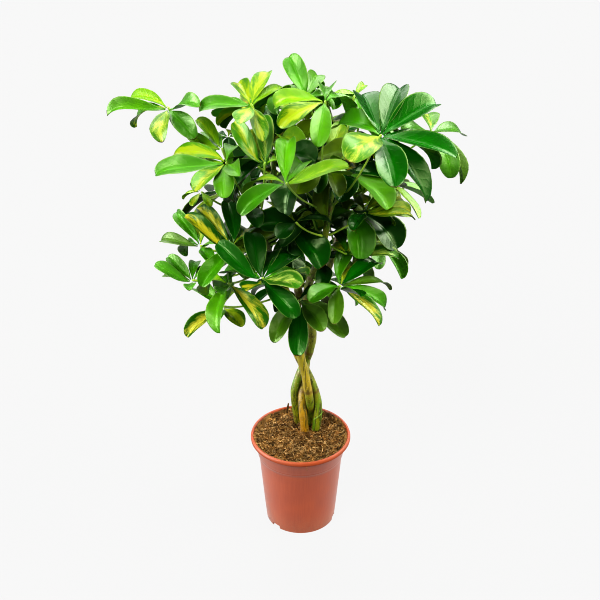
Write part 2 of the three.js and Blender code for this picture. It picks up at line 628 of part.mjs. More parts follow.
const BENDS = [0, 12, -12, 24, -24, 36, -36].map(radians);
const TURNS = [0, 10, -10, 20, -20].map(radians);
const LENGTHS = [1, 0.85, 0.7];

// The ways a leaflet may grow when its own place is taken, the smallest change first.
function bentTips(leaf, tip) {
  const reach = tip.clone().sub(leaf.hub);
  const level = reach.clone().cross(leaf.axis).normalize();
  const tips = [];
  for (const length of LENGTHS) {
    for (const turn of TURNS) {
      for (const bend of BENDS) {
        const moved = reach.clone().applyAxisAngle(level, bend).applyAxisAngle(leaf.axis, turn);
        tips.push(moved.multiplyScalar(length).add(leaf.hub));
      }
    }
  }
  return tips;
}

const takenFeet = [];

function growPetiole(leaf) {
  const feet = petioleFeet(leaf);
  const isFree = (extra) => (foot) => isClear(skin(petioleRings(leaf, foot, extra)), () => true);
  leaf.foot = feet.find(isFree(PETIOLE_CLEARANCE)) ?? feet.find(isFree(LEAST_CLEARANCE));
  if (!leaf.foot) throw new Error(`${leaf.name} finds no free way to a stem`);
  takenFeet.push(leaf.foot.place);
  record(leaf.name, 'petiole', skin(petioleRings(leaf, leaf.foot)));
  const crown = [-HUB_RADIUS, 1].map((d) => leaf.hub.clone().addScaledVector(leaf.axis, d));
  record(leaf.name, 'hub', skin(barRings(crown, [HUB_RADIUS + 0.4, HUB_RADIUS + 0.4], 6)));
}

function growLeaflets(leaf) {
  leaf.blades = [];
  leaf.tips.forEach((tip, i) => {
    const bearing = leaf.roots[i];
    const isOther = (piece) => piece.owner !== leaf.name;
    const isSibling = (piece) => piece.owner === leaf.name && piece.part !== 'hub';
    const end = bentTips(leaf, tip).find((trial) => (
      isClear(bladeGeometry(leaf, bearing, trial, BLADE_CLEARANCE), isOther)
      && isClear(bladeGeometry(leaf, bearing, trial, LEAST_CLEARANCE), isSibling)));
    if (!end) return;
    leaf.blades.push(bladeSections(leaf, bearing, end));
    record(leaf.name, 'blade', bladeGeometry(leaf, bearing, end, 0));
  });
}

// The hub between the petiole's last ring and the leaflets' roots.
function hubTriangles(leaf, petioleEnd) {
  const roots = leaf.blades.map((sections) => sections[0]);
  const top = roots.flatMap((root) => [root.firstTop, root.lastTop]);
  const bottom = roots.flatMap((root) => [root.firstBottom, root.lastBottom]);
  const triangles = [];
  for (let i = 1; i + 1 < top.length; i += 1) triangles.push([top[0], top[i], top[i + 1]]);
  roots.forEach((root, i) => {
    const next = roots[(i + 1) % roots.length];
    triangles.push([root.lastBottom, next.firstBottom, next.firstTop]);
    triangles.push([root.lastBottom, next.firstTop, root.lastTop]);
  });
  const { ahead, aside } = leafCompass(leaf);
  const bearingOf = (p) => {
    const reach = p.clone().sub(leaf.hub);
    return Math.atan2(reach.dot(aside), reach.dot(ahead));
  };
  const turned = (ring) => {
    const bearings = ring.map(bearingOf);
    const first = bearings.indexOf(Math.min(...bearings));
    const row = [...ring.slice(first), ...ring.slice(0, first)];
    return [...row.map((p) => ({ p, bearing: bearingOf(p) })),
      { p: row[0], bearing: bearingOf(row[0]) + 2 * Math.PI }];
  };
  const lower = turned(petioleEnd);
  const upper = turned(bottom);
  let i = 0;
  let j = 0;
  while (i + 1 < lower.length || j + 1 < upper.length) {
    const lowerIsNext = j + 1 === upper.length
      || (i + 1 < lower.length && lower[i + 1].bearing < upper[j + 1].bearing);
    if (lowerIsNext) {
      triangles.push([lower[i].p, lower[i + 1].p, upper[j].p]);
      i += 1;
    } else {
      triangles.push([lower[i].p, upper[j + 1].p, upper[j].p]);
      j += 1;
    }
  }
  return triangles;
}

function makeLeaf(leaf) {
  const rings = petioleRings(leaf, leaf.foot);
  const triangles = leaf.blades.flatMap(bladeTriangles);
  triangles.push(...hubTriangles(leaf, rings[rings.length - 1]));
  for (let row = 0; row + 1 < rings.length; row += 1) {
    for (let side = 0; side < PETIOLE_SIDES; side += 1) {
      const next = (side + 1) % PETIOLE_SIDES;
      triangles.push([rings[row][side], rings[row][next], rings[row + 1][next]]);
      triangles.push([rings[row][side], rings[row + 1][next], rings[row + 1][side]]);
    }
  }
  for (let side = 1; side + 1 < PETIOLE_SIDES; side += 1) {
    triangles.push([rings[0][0], rings[0][side + 1], rings[0][side]]);
  }
  return toGeometry(toSolid(fromTriangles(triangles)));
}

// ---- The plant ----

const group = new THREE.Group();

function addNode(name, geometry, material) {
  geometry.computeVertexNormals();
  const mesh = new THREE.Mesh(geometry, material);
  mesh.name = name;
  group.add(mesh);
}

addNode('pot', makePot(), MATERIALS.pot);
addNode('soil', makeSoil(), MATERIALS.coir);
for (const name of STEM_NAMES) {
  addNode(name, toGeometry(stemSolid(name)), MATERIALS.stem);
  record(name, 'stem', toGeometry(stemSolid(name, LEAST_CLEARANCE)));
}

const seen = seenLeaves();
const hidden = hiddenLeaves();
[...seen, ...hidden].forEach(spreadRoots);
for (const leaf of seen) {
  growPetiole(leaf);
  growLeaflets(leaf);
}
hidden.forEach(growPetiole);
hidden.forEach(growLeaflets);
for (const leaf of [...seen, ...hidden]) {
  addNode(leaf.name, makeLeaf(leaf), leaf.hub.z > YOUNG_HEIGHT ? MATERIALS.youngLeaf : MATERIALS.leaf);
}

export default group;
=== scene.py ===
# %% [markdown]
# # A potted umbrella plant
#
# This lesson dresses the plain solids of a potted dwarf umbrella plant: a plastic nursery pot, coarse
# coir, four braided stems, and 54 leaves that each spread a wheel of leathery leaflets from the end of a
# long stalk. The solids give every size and place. Each is replaced by a finer piece that keeps its form,
# and every surface gets a material made from nodes alone. All lengths are metres.

# %% Load the solids
import math

import bpy
import numpy as np
from mathutils import Euler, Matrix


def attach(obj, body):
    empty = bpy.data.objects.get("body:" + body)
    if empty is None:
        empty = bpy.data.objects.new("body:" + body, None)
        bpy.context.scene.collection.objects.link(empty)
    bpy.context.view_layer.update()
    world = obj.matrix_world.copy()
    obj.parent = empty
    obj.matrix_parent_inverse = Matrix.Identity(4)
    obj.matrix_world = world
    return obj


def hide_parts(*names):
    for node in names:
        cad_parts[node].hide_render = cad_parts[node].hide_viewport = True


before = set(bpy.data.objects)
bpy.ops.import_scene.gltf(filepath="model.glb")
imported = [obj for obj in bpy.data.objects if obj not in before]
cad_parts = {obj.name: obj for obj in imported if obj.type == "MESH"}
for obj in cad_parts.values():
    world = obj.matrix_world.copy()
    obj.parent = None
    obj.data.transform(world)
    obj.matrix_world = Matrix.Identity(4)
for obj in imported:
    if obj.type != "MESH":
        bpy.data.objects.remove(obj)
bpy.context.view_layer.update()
leaf_nodes = [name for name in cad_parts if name.startswith("leaf_")]
stem_nodes = [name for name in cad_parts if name.startswith("stem_")]
print("solids:", len(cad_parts), "of which leaves:", len(leaf_nodes), "and stems:", len(stem_nodes))

# %% [markdown]
# ## Camera
#
# The plant is seen from about 30 degrees above the level through a long lens, so the rim of the pot is a
# flat ellipse and the crown hardly tapers. A camera can be placed by eye, but here it was fitted to the
# ellipses of the rim and the base, because those two curves settle its height, its tilt and its lens.

# %% Camera
EYE = (-0.001, -1.805, 1.481)
PITCH = math.radians(30.14)
PICTURE = 600
FOCAL_LENGTH = 1300  # in points of the picture
SENSOR = 36

bpy.ops.object.camera_add(location=EYE, rotation=(math.pi / 2 - PITCH, 0, 0))
camera = bpy.context.object
camera.name = "camera"
camera.data.sensor_width = SENSOR
camera.data.lens = SENSOR * FOCAL_LENGTH / PICTURE
bpy.context.scene.camera = camera


def seen_at(place):
    """Where a place in space shows in the picture, as points across and down."""
    across, ahead, up = (place[i] - EYE[i] for i in range(3))
    depth = ahead * math.cos(PITCH) - up * math.sin(PITCH)
    rise = ahead * math.sin(PITCH) + up * math.cos(PITCH)
    return np.array([PICTURE / 2 + FOCAL_LENGTH * across / depth, PICTURE / 2 - FOCAL_LENGTH * rise / depth])


print("the pot's foot shows at", seen_at((0, 0, 0)).round(1))

# %% [markdown]
# ## Working with nodes
#
# A material is a tree of shader nodes joined by links. It can be drawn by hand in the node editor, or
# written down as here, which repeats exactly. A socket knows the tree it belongs to, so the helpers for
# sums, masks, noise and blends put each new node where its inputs are, and a recipe reads like a formula.

# %% Nodes
def colour(code):
    """A colour as the renderer wants it, from the usual six-digit notation."""
    shares = [int(code[i:i + 2], 16) / 255 for i in (0, 2, 4)]
    linear = [s / 12.92 if s <= 0.04045 else ((s + 0.055) / 1.055) ** 2.4 for s in shares]
    return (*linear, 1.0)


def feed(node, sockets):
    """Gives each named socket of a node a value, a colour code or, from another node, a link."""
    for key, value in sockets.items():
        if isinstance(value, bpy.types.NodeSocket):
            node.id_data.links.new(value, node.inputs[key])
        else:
            node.inputs[key].default_value = colour(value) if isinstance(value, str) else value


def put(tree, kind, sockets=None, **settings):
    node = tree.nodes.new("ShaderNode" + kind)
    for key, value in settings.items():
        setattr(node, key, value)
    feed(node, sockets or {})
    return node


def tree_of(*values):
    return next(value.id_data for value in values if isinstance(value, bpy.types.NodeSocket))


def new_material(name, **values):
    """A material, its tree and its Principled surface, with values set on the surface's own sockets."""
    material = bpy.data.materials.new(name)
    material.use_nodes = True
    surface = material.node_tree.nodes["Principled BSDF"]
    feed(surface, {key.replace("_", " "): value for key, value in values.items()})
    return material, material.node_tree, surface


print("a middle grey is", round(colour("808080")[0], 3), "to the renderer")

# %% Sums, masks, noise and blends
def calc(operation, first, second=0.0):
    return put(tree_of(first, second), "Math", {0: first, 1: second}, operation=operation).outputs[0]


def plus(first, second):
    return calc("ADD", first, second)


def minus(first, second):
    return calc("SUBTRACT", first, second)


def times(first, second):
    return calc("MULTIPLY", first, second)


def mask(value, low, high):
    """0 below low, 1 above high, and soft between. It runs the other way where low is above high."""
    limits = {"Value": value, "From Min": low, "From Max": high}
    return put(tree_of(value), "MapRange", limits, interpolation_type="SMOOTHSTEP").outputs["Result"]


def noise(place, scale, detail=3.0, distortion=0.0):
    sockets = {"Vector": place, "Scale": scale, "Detail": detail, "Distortion": distortion}
    return put(tree_of(place), "TexNoise", sockets).outputs["Fac"]


def mixed(share, first, second, mode="MIX"):
    """The first colour, with a share of the second laid over it."""
    tree = tree_of(share, first, second)
    return put(tree, "Mix", {0: share, 6: first, 7: second}, data_type="RGBA", blend_type=mode).outputs[2]


def joined_axes(tree, x, y, z):
    return put(tree, "CombineXYZ", {0: x, 1: y, 2: z}).outputs[0]


def place_and_tone(tree):
    """Where a point of the surface is, and the tone that was kept with it."""
    tone = put(tree, "Attribute", attribute_name="tone").outputs["Color"]
    return put(tree, "TexCoord").outputs["Object"], tone


def bumpy(height, distance, strength):
    sockets = {"Height": height, "Distance": distance, "Strength": strength}
    return put(tree_of(height), "Bump", sockets).outputs[0]


print("helpers:", [helper.__name__ for helper in (calc, mask, noise, mixed, bumpy)])

# %% [markdown]
# ## Light
#
# The real plant stands in a bright white room, lit evenly, with broad gleams on its leaves. Area lamps
# could do that, but their light falls off with distance and stains the floor, so wide sun lamps are used,
# which light everything alike. Two of them only add sheen, like tall windows: diffuse surfaces and the
# light that comes through leaves don't see them. The world is white to the camera and dim to the plant,
# and a narrow pixel filter keeps the small leaves crisp.

# %% White room
ROOM_WHITE = 0.65
ROOM_LIGHT = 0.14
PIXEL_FILTER = 1.0

scene = bpy.context.scene
scene.view_settings.view_transform = "Standard"
scene.view_settings.look = "High Contrast"
scene.cycles.filter_width = PIXEL_FILTER
scene.world = bpy.data.worlds.new("white room")
scene.world.use_nodes = True
tree = scene.world.node_tree
by_camera = put(tree, "LightPath").outputs["Is Camera Ray"]
strength = put(tree, "MapRange", {"Value": by_camera, "To Min": ROOM_LIGHT, "To Max": ROOM_WHITE}).outputs[0]
feed(tree.nodes["Background"], {"Color": (1, 1, 1, 1), "Strength": strength})
print("world:", scene.world.name)

# %% Lamps
LAMPS = [  # name, strength, angle, direction as [right, back, up], colour, only sheen
    ["key lamp", 2.8, 30, [0.5, 0.75, -1.0], (1.0, 0.99, 0.96), False],
    ["ceiling lamp", 1.5, 50, [0.1, -0.42, -0.9], (1, 1, 1), False],
    ["back glow", 1.4, 45, [0.15, -0.9, -0.5], (1, 1, 1), False],
    ["left glow", 1.4, 45, [1.0, 0.2, -0.25], (1, 1, 1), False],
    ["right glow", 2.6, 45, [-1.0, 0.15, -0.45], (1.0, 0.97, 0.84), False],
    ["right window sheen", 5.6, 46, [-0.75, -0.42, -0.6], (1, 1, 1), True],
    ["left window sheen", 8.0, 50, [1.0, 0.1, -0.08], (1, 1, 1), True],
]
for name, strength, angle, (right, back, up), tint, only_sheen in LAMPS:
    bpy.ops.object.light_add(type="SUN")
    lamp = bpy.context.object
    lamp.name = name
    lamp.rotation_euler = (math.atan2(math.hypot(right, back), -up), 0, math.atan2(-right, back))
    lamp.data.energy = strength
    lamp.data.angle = math.radians(angle)
    lamp.data.color = tint
    lamp.visible_diffuse = not only_sheen
    lamp.visible_transmission = not only_sheen

# %% [markdown]
# ## Floor
#
# The pot stands on a white surface that has no edge and hardly any shadow. A floor lit by the lamps would
# need them balanced against the plant, so this one gives out its own even white instead. Diffuse surfaces
# don't see it, or it would light the leaves from below.

# %% Floor
FLOOR_WIDTH = 14
FLOOR_GLOW = 0.637
NEAR_BLACK = (0.012, 0.012, 0.012, 1)

bpy.ops.mesh.primitive_plane_add(size=FLOOR_WIDTH)
floor = bpy.context.object
floor.name = "floor"
floor_white, _, _ = new_material("white floor", Base_Color=NEAR_BLACK, Roughness=0.9, Specular_IOR_Level=0.0,
                                 Emission_Color=(1, 1, 1, 1), Emission_Strength=FLOOR_GLOW)
floor.data.materials.append(floor_white)
floor.visible_diffuse = False
print("floor:", floor.name, "with", floor_white.name)

# %% [markdown]
# ## The pot
#
# The pot is one thin shell that was formed in a tapered mould: a flared collar below a rounded lip, a thin
# raised ring under the collar, and a recessed base. A profile turned by a Screw modifier or on a lathe
# would do as well. Here a disc is extruded from ring to ring along the section, up the outside and down
# the inside, because that closes the shell by itself, and the fibres and the twig are made the same way.
# Tight pairs of rings keep the edges crisp when the shell is shaded smooth. An operator works on all that
# is selected, and the solids are selected after loading, so every piece starts by selecting nothing.

# %% Extrude a body ring by ring
def select_nothing():
    if bpy.context.object and bpy.context.object.mode != "OBJECT":
        bpy.ops.object.mode_set(mode="OBJECT")
    bpy.ops.object.select_all(action="DESELECT")


def extruded(sides, foot, radius, steps):
    """A closed body of level rings: a disc at the foot, extruded by each step's [move, radius]."""
    select_nothing()
    bpy.ops.mesh.primitive_circle_add(vertices=sides, radius=radius, fill_type="NGON", location=tuple(foot))
    body = bpy.context.object
    bpy.ops.object.transform_apply(location=True, rotation=True, scale=True)
    bpy.ops.object.mode_set(mode="EDIT")
    bpy.ops.mesh.select_all(action="SELECT")
    centre = np.array(foot, float)
    for move, next_radius in steps:
        centre = centre + move
        factor = next_radius / radius
        bpy.ops.mesh.extrude_region_move(TRANSFORM_OT_translate={"value": tuple(move)})
        bpy.ops.transform.resize(value=(factor, factor, 1), center_override=tuple(centre))
        radius = next_radius
    bpy.ops.mesh.select_all(action="SELECT")
    bpy.ops.mesh.normals_make_consistent(inside=False)
    bpy.ops.object.mode_set(mode="OBJECT")
    return body


# %% Pot shell
POT_SIDES = 128
POT_SECTION = [  # radius and height of each ring
    [0.0460, 0.0000], [0.0475, 0.0069], [0.0571, 0.0070], [0.0576, 0.0004], [0.0580, 0.0001],
    [0.0590, 0.0001], [0.0594, 0.0006], [0.0620, 0.0280], [0.0650, 0.0620], [0.0680, 0.0965],
    [0.0706, 0.1262], [0.0709, 0.1283], [0.0719, 0.1331], [0.0728, 0.1343], [0.0731, 0.1350],
    [0.0730, 0.1358], [0.0734, 0.1368], [0.0747, 0.1420], [0.0760, 0.1470], [0.0789, 0.1565],
    [0.0799, 0.1598], [0.0806, 0.1611], [0.0822, 0.1615], [0.0838, 0.1621], [0.0847, 0.1633],
    [0.0850, 0.1650], [0.0849, 0.1670], [0.0843, 0.1687], [0.0834, 0.1697], [0.0822, 0.1700],
    [0.0811, 0.1697], [0.0804, 0.1688], [0.0799, 0.1670], [0.0786, 0.1595], [0.0765, 0.1535],
    [0.0742, 0.1470], [0.0700, 0.1350], [0.0690, 0.1280], [0.0583, 0.0094], [0.0578, 0.0091],
    [0.0455, 0.0094], [0.0435, 0.0024], [0.0010, 0.0024],
]

first_radius, first_height = POT_SECTION[0]
rises = [[(0, 0, high - low), radius] for (_, low), (radius, high) in zip(POT_SECTION, POT_SECTION[1:])]
shell = extruded(POT_SIDES, (0, 0, first_height), first_radius, rises)

# %% [markdown]
# Three drain notches go through the foot ring and the first centimetre of the wall. They could be pulled
# out of the wall by hand, but cutting keeps them alike: a bevelled box is placed at each bearing, and a
# Boolean modifier takes it away.

# %% Drain notches
NOTCH_SIZE = (0.012, 0.016, 0.0124)
NOTCH_ROUNDING = 0.002
NOTCH_BEARINGS = (-135, -15, 105)
FOOT_RADIUS = 0.0595
CRISP_ANGLE = 32


def select_only(*pieces):
    select_nothing()
    for piece in pieces:
        piece.select_set(True)
    bpy.context.view_layer.objects.active = pieces[0]


def apply_modifier(piece, kind, **settings):
    select_only(piece)
    modifier = piece.modifiers.new(kind.lower(), kind)
    for key, value in settings.items():
        setattr(modifier, key, value)
    bpy.ops.object.modifier_apply(modifier=modifier.name)


for bearing in NOTCH_BEARINGS:
    turn = math.radians(bearing)
    place = (FOOT_RADIUS * math.cos(turn), FOOT_RADIUS * math.sin(turn), 0)
    select_nothing()
    bpy.ops.mesh.primitive_cube_add(size=1, rotation=(0, 0, turn), location=place)
    cutter = bpy.context.object
    cutter.scale = NOTCH_SIZE
    bpy.ops.object.transform_apply(location=True, rotation=True, scale=True)
    apply_modifier(cutter, "BEVEL", width=NOTCH_ROUNDING, segments=3, limit_method="ANGLE")
    apply_modifier(shell, "BOOLEAN", operation="DIFFERENCE", object=cutter, solver="EXACT")
    bpy.data.objects.remove(cutter)
select_only(shell)
bpy.ops.object.shade_smooth_by_angle(angle=math.radians(CRISP_ANGLE))
print("pot with notches:", len(shell.data.polygons), "faces")

# %% [markdown]
# ## Clouds and speckles
#
# Nothing that grows or gets handled has one even tone. A node group is a small machine that many materials
# can share. This one gives slow, cloudy changes and fine speckles, and the pot, the coir, the bark and the
# leaves all use it with their own scales. It puts out masks only, and each material picks its colours.

# %% Patches group
def new_group(name, inputs, outputs):
    """A node group with named inputs, as {name: default}, and named outputs that are all values."""
    group = bpy.data.node_groups.new(name, "ShaderNodeTree")
    for label, default in inputs.items():
        kind = "NodeSocketVector" if isinstance(default, tuple) else "NodeSocketFloat"
        socket = group.interface.new_socket(name=label, in_out="INPUT", socket_type=kind)
        socket.default_value = default
    for label in outputs:
        group.interface.new_socket(name=label, in_out="OUTPUT", socket_type="NodeSocketFloat")
    return group, group.nodes.new("NodeGroupInput").outputs, group.nodes.new("NodeGroupOutput")


patch_inputs = {"Place": (0.0, 0.0, 0.0), "Cloud scale": 20.0, "Speckle scale": 400.0}
patches, given, result = new_group("patches", patch_inputs, ["Clouds", "Speckles"])
clouds = noise(given["Place"], given["Cloud scale"], detail=4.0, distortion=0.6)
speckles = noise(given["Place"], given["Speckle scale"], detail=2.0)
feed(result, {"Clouds": mask(clouds, 0.3, 0.7), "Speckles": mask(speckles, 0.35, 0.65)})


def clouds_and_speckles(place, cloud_scale, speckle_scale):
    sockets = {"Place": place, "Cloud scale": cloud_scale, "Speckle scale": speckle_scale}
    return put(tree_of(place), "Group", sockets, node_tree=patches).outputs.values()


print("group:", patches.name)

# %% [markdown]
# The plastic is satin terracotta, and a little uneven: the mould leaves faint upright draw lines, the lip
# looks more orange and less glossy, and the foot carries some dust of the coir. Separate materials on
# painted faces would give hard borders, so the zones are masks of the height instead, which blend softly.
# A finished piece is named, rides on the root body, takes its material, and the solid it stands for is
# hidden.

# %% Pot plastic
PLASTIC = {"body": "9b4420", "drawn": "a34c26", "cloud": "be6030", "lip": "a04818", "dust": "9a7a5c"}
LIP_HEIGHTS = (0.157, 0.163)
DUST_HEIGHT = 0.05


def finish_piece(piece, name, node, material=None):
    """Names a piece, hangs it on the root body, gives it its material and hides its solid. A piece of several
    materials has them already.
    """
    piece.name = name
    piece.data.name = name
    if material:
        piece.data.materials.clear()
        piece.data.materials.append(material)
    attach(piece, "root")
    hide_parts(node)


plastic, tree, surface = new_material("terracotta plastic", IOR=1.5, Coat_Roughness=0.36)
place = put(tree, "TexCoord").outputs["Object"]
x, y, z = put(tree, "SeparateXYZ", {0: place}).outputs
streaks = noise(joined_axes(tree, times(calc("ARCTAN2", y, x), 9.0), times(z, 6.0), 0.0), 4.0)
clouds, speckles = clouds_and_speckles(place, 26.0, 900.0)
lip = mask(z, *LIP_HEIGHTS)
dust = times(mask(z, DUST_HEIGHT, 0.0), speckles)
shade = mixed(mask(streaks, 0.2, 0.8), PLASTIC["body"], PLASTIC["drawn"])
shade = mixed(times(clouds, 0.2), shade, PLASTIC["cloud"])
shade = mixed(lip, shade, PLASTIC["lip"])
shade = mixed(times(dust, 0.35), shade, PLASTIC["dust"])
roughness = plus(plus(times(clouds, 0.12), 0.40), times(lip, 0.15))
relief = bumpy(plus(times(streaks, 0.5), times(speckles, 0.15)), 0.0002, 0.2)
feed(surface, {"Base Color": shade, "Roughness": roughness, "Normal": relief,
               "Coat Weight": times(minus(1.0, lip), 0.8)})
finish_piece(shell, "pot_shell", "pot", plastic)
print("material:", plastic.name)

# %% [markdown]
# ## The coir
#
# Coir is a loose, lumpy fill of husk. Its top could be sculpted, but a few modifiers do it alike each
# time: a finely divided disc is dropped onto the solid's mound by Shrinkwrap, roughened by Displace and
# made solid. Its height is then read back, so that loose bits can be laid on it.

# %% Coir mound
COIR_RADIUS = 0.0778
COIR_HEIGHT = 0.168
COIR_SIDES = 96
COIR_RINGS = 24
GRAIN_SIZE = 0.009
GRAIN_DEPTH = 0.0075

select_nothing()
bpy.ops.mesh.primitive_circle_add(vertices=COIR_SIDES, radius=COIR_RADIUS, fill_type="NGON",
                                  location=(0, 0, COIR_HEIGHT))
mound = bpy.context.object
bpy.ops.object.transform_apply(location=True, rotation=True, scale=True)
bpy.ops.object.mode_set(mode="EDIT")
bpy.ops.mesh.select_all(action="SELECT")
for ring in range(COIR_RINGS):
    bpy.ops.mesh.inset(thickness=COIR_RADIUS / (COIR_RINGS + 1))
bpy.ops.object.mode_set(mode="OBJECT")
apply_modifier(mound, "SHRINKWRAP", wrap_method="PROJECT", target=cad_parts["soil"],
               use_project_z=True, use_negative_direction=True, project_limit=0.012)
grains = bpy.data.textures.new("grains", "CLOUDS")
grains.noise_scale = GRAIN_SIZE
apply_modifier(mound, "DISPLACE", texture=grains, strength=GRAIN_DEPTH, mid_level=0.45, direction="Z")
apply_modifier(mound, "SOLIDIFY", thickness=0.004, offset=-1)
select_only(mound)
bpy.ops.object.shade_smooth()


def mesh_places(piece):
    places = np.empty(len(piece.data.vertices) * 3, np.float32)
    piece.data.vertices.foreach_get("co", places)
    return places.reshape(-1, 3).astype(float)


mound_places = mesh_places(mound)


def mound_height(x, y):
    """The highest of the six points of the mound that lie nearest."""
    nearest = np.argsort(np.hypot(mound_places[:, 0] - x, mound_places[:, 1] - y))[:6]
    return mound_places[nearest, 2].max()


print("mound:", len(mound.data.polygons), "faces; height in the middle:", round(mound_height(0, 0), 4))

# %% [markdown]
# Chips and fibres of husk lie on top by the hundred. A particle system could scatter them, but in a loop
# every copy can have a mesh and a tone of its own. Four chips and two fibres are the originals, with few
# faces each. A chip is a flattened icosphere with its corners moved at random, and a fibre is a thin bar,
# extruded along a bow.

# %% Chips and fibres
CHIP_SIZES = [(0.0028, 0.0008, 0.0007), (0.0040, 0.0012, 0.0007), (0.0066, 0.0009, 0.0007),
              (0.0046, 0.0018, 0.0012)]
CHIP_CORNERS = (0.7, 1.2)
FIBRE_RADIUS = 0.00028
FIBRE_BANDS = 6
FIBRE_SHAPES = [[0.011, 0.06], [0.021, 0.045]]  # length and bow


def set_places(piece, places):
    piece.data.vertices.foreach_set("co", np.asarray(places, np.float32).ravel())
    piece.data.update()


def make_chip(size, seed):
    select_nothing()
    bpy.ops.mesh.primitive_ico_sphere_add(subdivisions=1, radius=1)
    chip = bpy.context.object
    draw = np.random.default_rng(seed)
    set_places(chip, mesh_places(chip) * draw.uniform(*CHIP_CORNERS, (len(chip.data.vertices), 1)) * size)
    return chip


def make_fibre(length, bow, seed):
    draw = np.random.default_rng(seed)
    steps = []
    for band in range(FIBRE_BANDS):
        sideways = bow * (band - 2.5) * length + draw.normal() * 0.0002
        steps.append([(sideways, draw.normal() * 0.0005, length / FIBRE_BANDS), FIBRE_RADIUS])
    return extruded(3, (0, 0, 0), FIBRE_RADIUS, steps)


chips = [make_chip(size, seed) for seed, size in enumerate(CHIP_SIZES, 1)]
fibres = [make_fibre(length, bow, seed) for seed, (length, bow) in enumerate(FIBRE_SHAPES, 5)]
print("chip faces:", [len(c.data.polygons) for c in chips], "fibre faces:", len(fibres[0].data.polygons))

# %% [markdown]
# Every copy gets its own mesh, a seeded place and turn, and a tone between dark and straw. Husk settles in
# clumps, and their light and shade are painted in: the tone is darker in the hollows between them and paler
# on top. A noise texture could tint the mound alone, but the bits have to agree with it, so a sum of
# crossing waves tells how high in a clump any place is, and both read it.
# The tone is kept with the points of the mesh, where the material finds it. A short bit of dead shoot
# stands near the back edge. All of it is joined, since a pot of coir is one thing.

# %% Clumps of husk
STREW_SEED = 5
CLUMP_SIZES = (0.010, 0.024)
CLUMP_WAVES = 14
CLUMP_HEIGHT = 4.0


def smooth_step(value, low, high):
    share = np.clip((np.asarray(value, float) - low) / (high - low), 0, 1)
    return share * share * (3 - 2 * share)


def clump(x, y):
    """0 in the hollows between clumps of husk and 1 on top of them."""
    draw = np.random.default_rng(STREW_SEED)
    level = 0
    for wave in range(CLUMP_WAVES):
        bearing, length = draw.uniform(0, math.pi), draw.uniform(*CLUMP_SIZES)
        along = (x * math.cos(bearing) + y * math.sin(bearing)) / length
        level = level + np.sin(2 * math.pi * along + draw.uniform(0, 6.3))
    return smooth_step(level, -CLUMP_HEIGHT, CLUMP_HEIGHT)


print("height in a clump along a line:", clump(np.linspace(0, 0.07, 8), 0).round(2))

# %% Strew copies
BIT_SIZES = (0.6, 1.35)
BIT_TONES = (0.8, 1.25)
BIT_LIFT = 0.0006


def paint(piece, label, values):
    """Keeps a colour with each point of a piece. One colour does for all of them."""
    layer = piece.data.color_attributes.new(label, "FLOAT_COLOR", "POINT")
    rows = np.broadcast_to(np.asarray(values, np.float32), (len(piece.data.vertices), 4))
    layer.data.foreach_set("color", rows.ravel())


def own_copy(original):
    copy = original.copy()
    copy.data = original.data.copy()
    bpy.context.collection.objects.link(copy)
    return copy


def strew(originals, count, tones, reach, lean, tilt, draw):
    """Copies of the originals on the coir, within reach of its middle, leaned and then tilted at random."""
    copies = []
    for number in range(count):
        original = originals[draw.integers(len(originals))]
        bearing, radius = draw.uniform(0, 2 * math.pi), reach * math.sqrt(draw.uniform(0, 1))
        x, y = radius * math.cos(bearing), radius * math.sin(bearing)
        turns = (draw.normal(0, tilt), draw.normal(0, tilt) + lean, draw.uniform(0, 2 * math.pi))
        bit = own_copy(original)
        places = mesh_places(original) * draw.uniform(*BIT_SIZES) @ np.array(Euler(turns).to_matrix()).T
        set_places(bit, places + [x, y, mound_height(x, y) + BIT_LIFT])
        tone = np.array(colour(tones[draw.integers(len(tones))]))
        # Painted light and shade: a bit is darker in the hollows between clumps and paler on top of them.
        tone[:3] *= draw.uniform(*BIT_TONES) * (0.7 + 1.25 * clump(x, y))
        paint(bit, "tone", tone)
        copies.append(bit)
    for original in originals:
        bpy.data.objects.remove(original)
    return copies


CHIP_COUNT = 1400
FIBRE_COUNT = 620
COIR_TONES = ["9c7440", "ae8850", "c8a874", "80592c", "3c2208", "b89864", "543612", "c0a274"]
draw = np.random.default_rng(STREW_SEED)
strewn = strew(chips, CHIP_COUNT, COIR_TONES, reach=0.0745, lean=0.0, tilt=0.35, draw=draw)
strewn += strew(fibres, FIBRE_COUNT, COIR_TONES[1:4], reach=0.066, lean=math.pi / 2, tilt=0.14, draw=draw)
print("chips and fibres:", len(strewn))

# %% Twig, and all of it joined
MOUND_TONE = "a07a44"
TWIG_TONE = "4a3218"
TWIG_FOOT = np.array([-0.0240, 0.072, 0.162])
TWIG_TIP = np.array([-0.0213, 0.0768, 0.1785])
TWIG_RADIUS = 0.0015
TWIG_WIDTHS = (1.0, 0.95, 1.3, 1.3, 1.0, 0.85)  # the thick part is a node of the shoot


def joined(pieces, name):
    """Joins pieces into the first one and gives it a name."""
    select_only(*pieces)
    bpy.ops.object.join()
    piece = bpy.context.object
    piece.name = name
    return piece


mound_tones = np.tile(colour(MOUND_TONE), (len(mound_places), 1))
# Painted light and shade: the mound is darker in the hollows between clumps and paler on top of them.
mound_tones[:, :3] *= 0.35 + clump(mound_places[:, 0], mound_places[:, 1])[:, None]
paint(mound, "tone", mound_tones)
step = (TWIG_TIP - TWIG_FOOT) / len(TWIG_WIDTHS)
twig = extruded(7, TWIG_FOOT, TWIG_RADIUS, [[step, TWIG_RADIUS * width] for width in TWIG_WIDTHS])
paint(twig, "tone", colour(TWIG_TONE))
coir = joined([mound, twig] + strewn, "coir")
print("coir:", len(coir.data.polygons), "faces; the twig's tip shows at", seen_at(TWIG_TIP).round(1))

# %% [markdown]
# Coir is dull and dusty. One brown for all would look like mud, so the material starts from the tone of
# each bit, clouds it, sprinkles it with pale dust and darkens small spots as painted shade of pits.

# %% Coir material
HUSK = {"cloud": "5b3b1a", "dust": "b89a64", "pit_shade": "3a230c"}

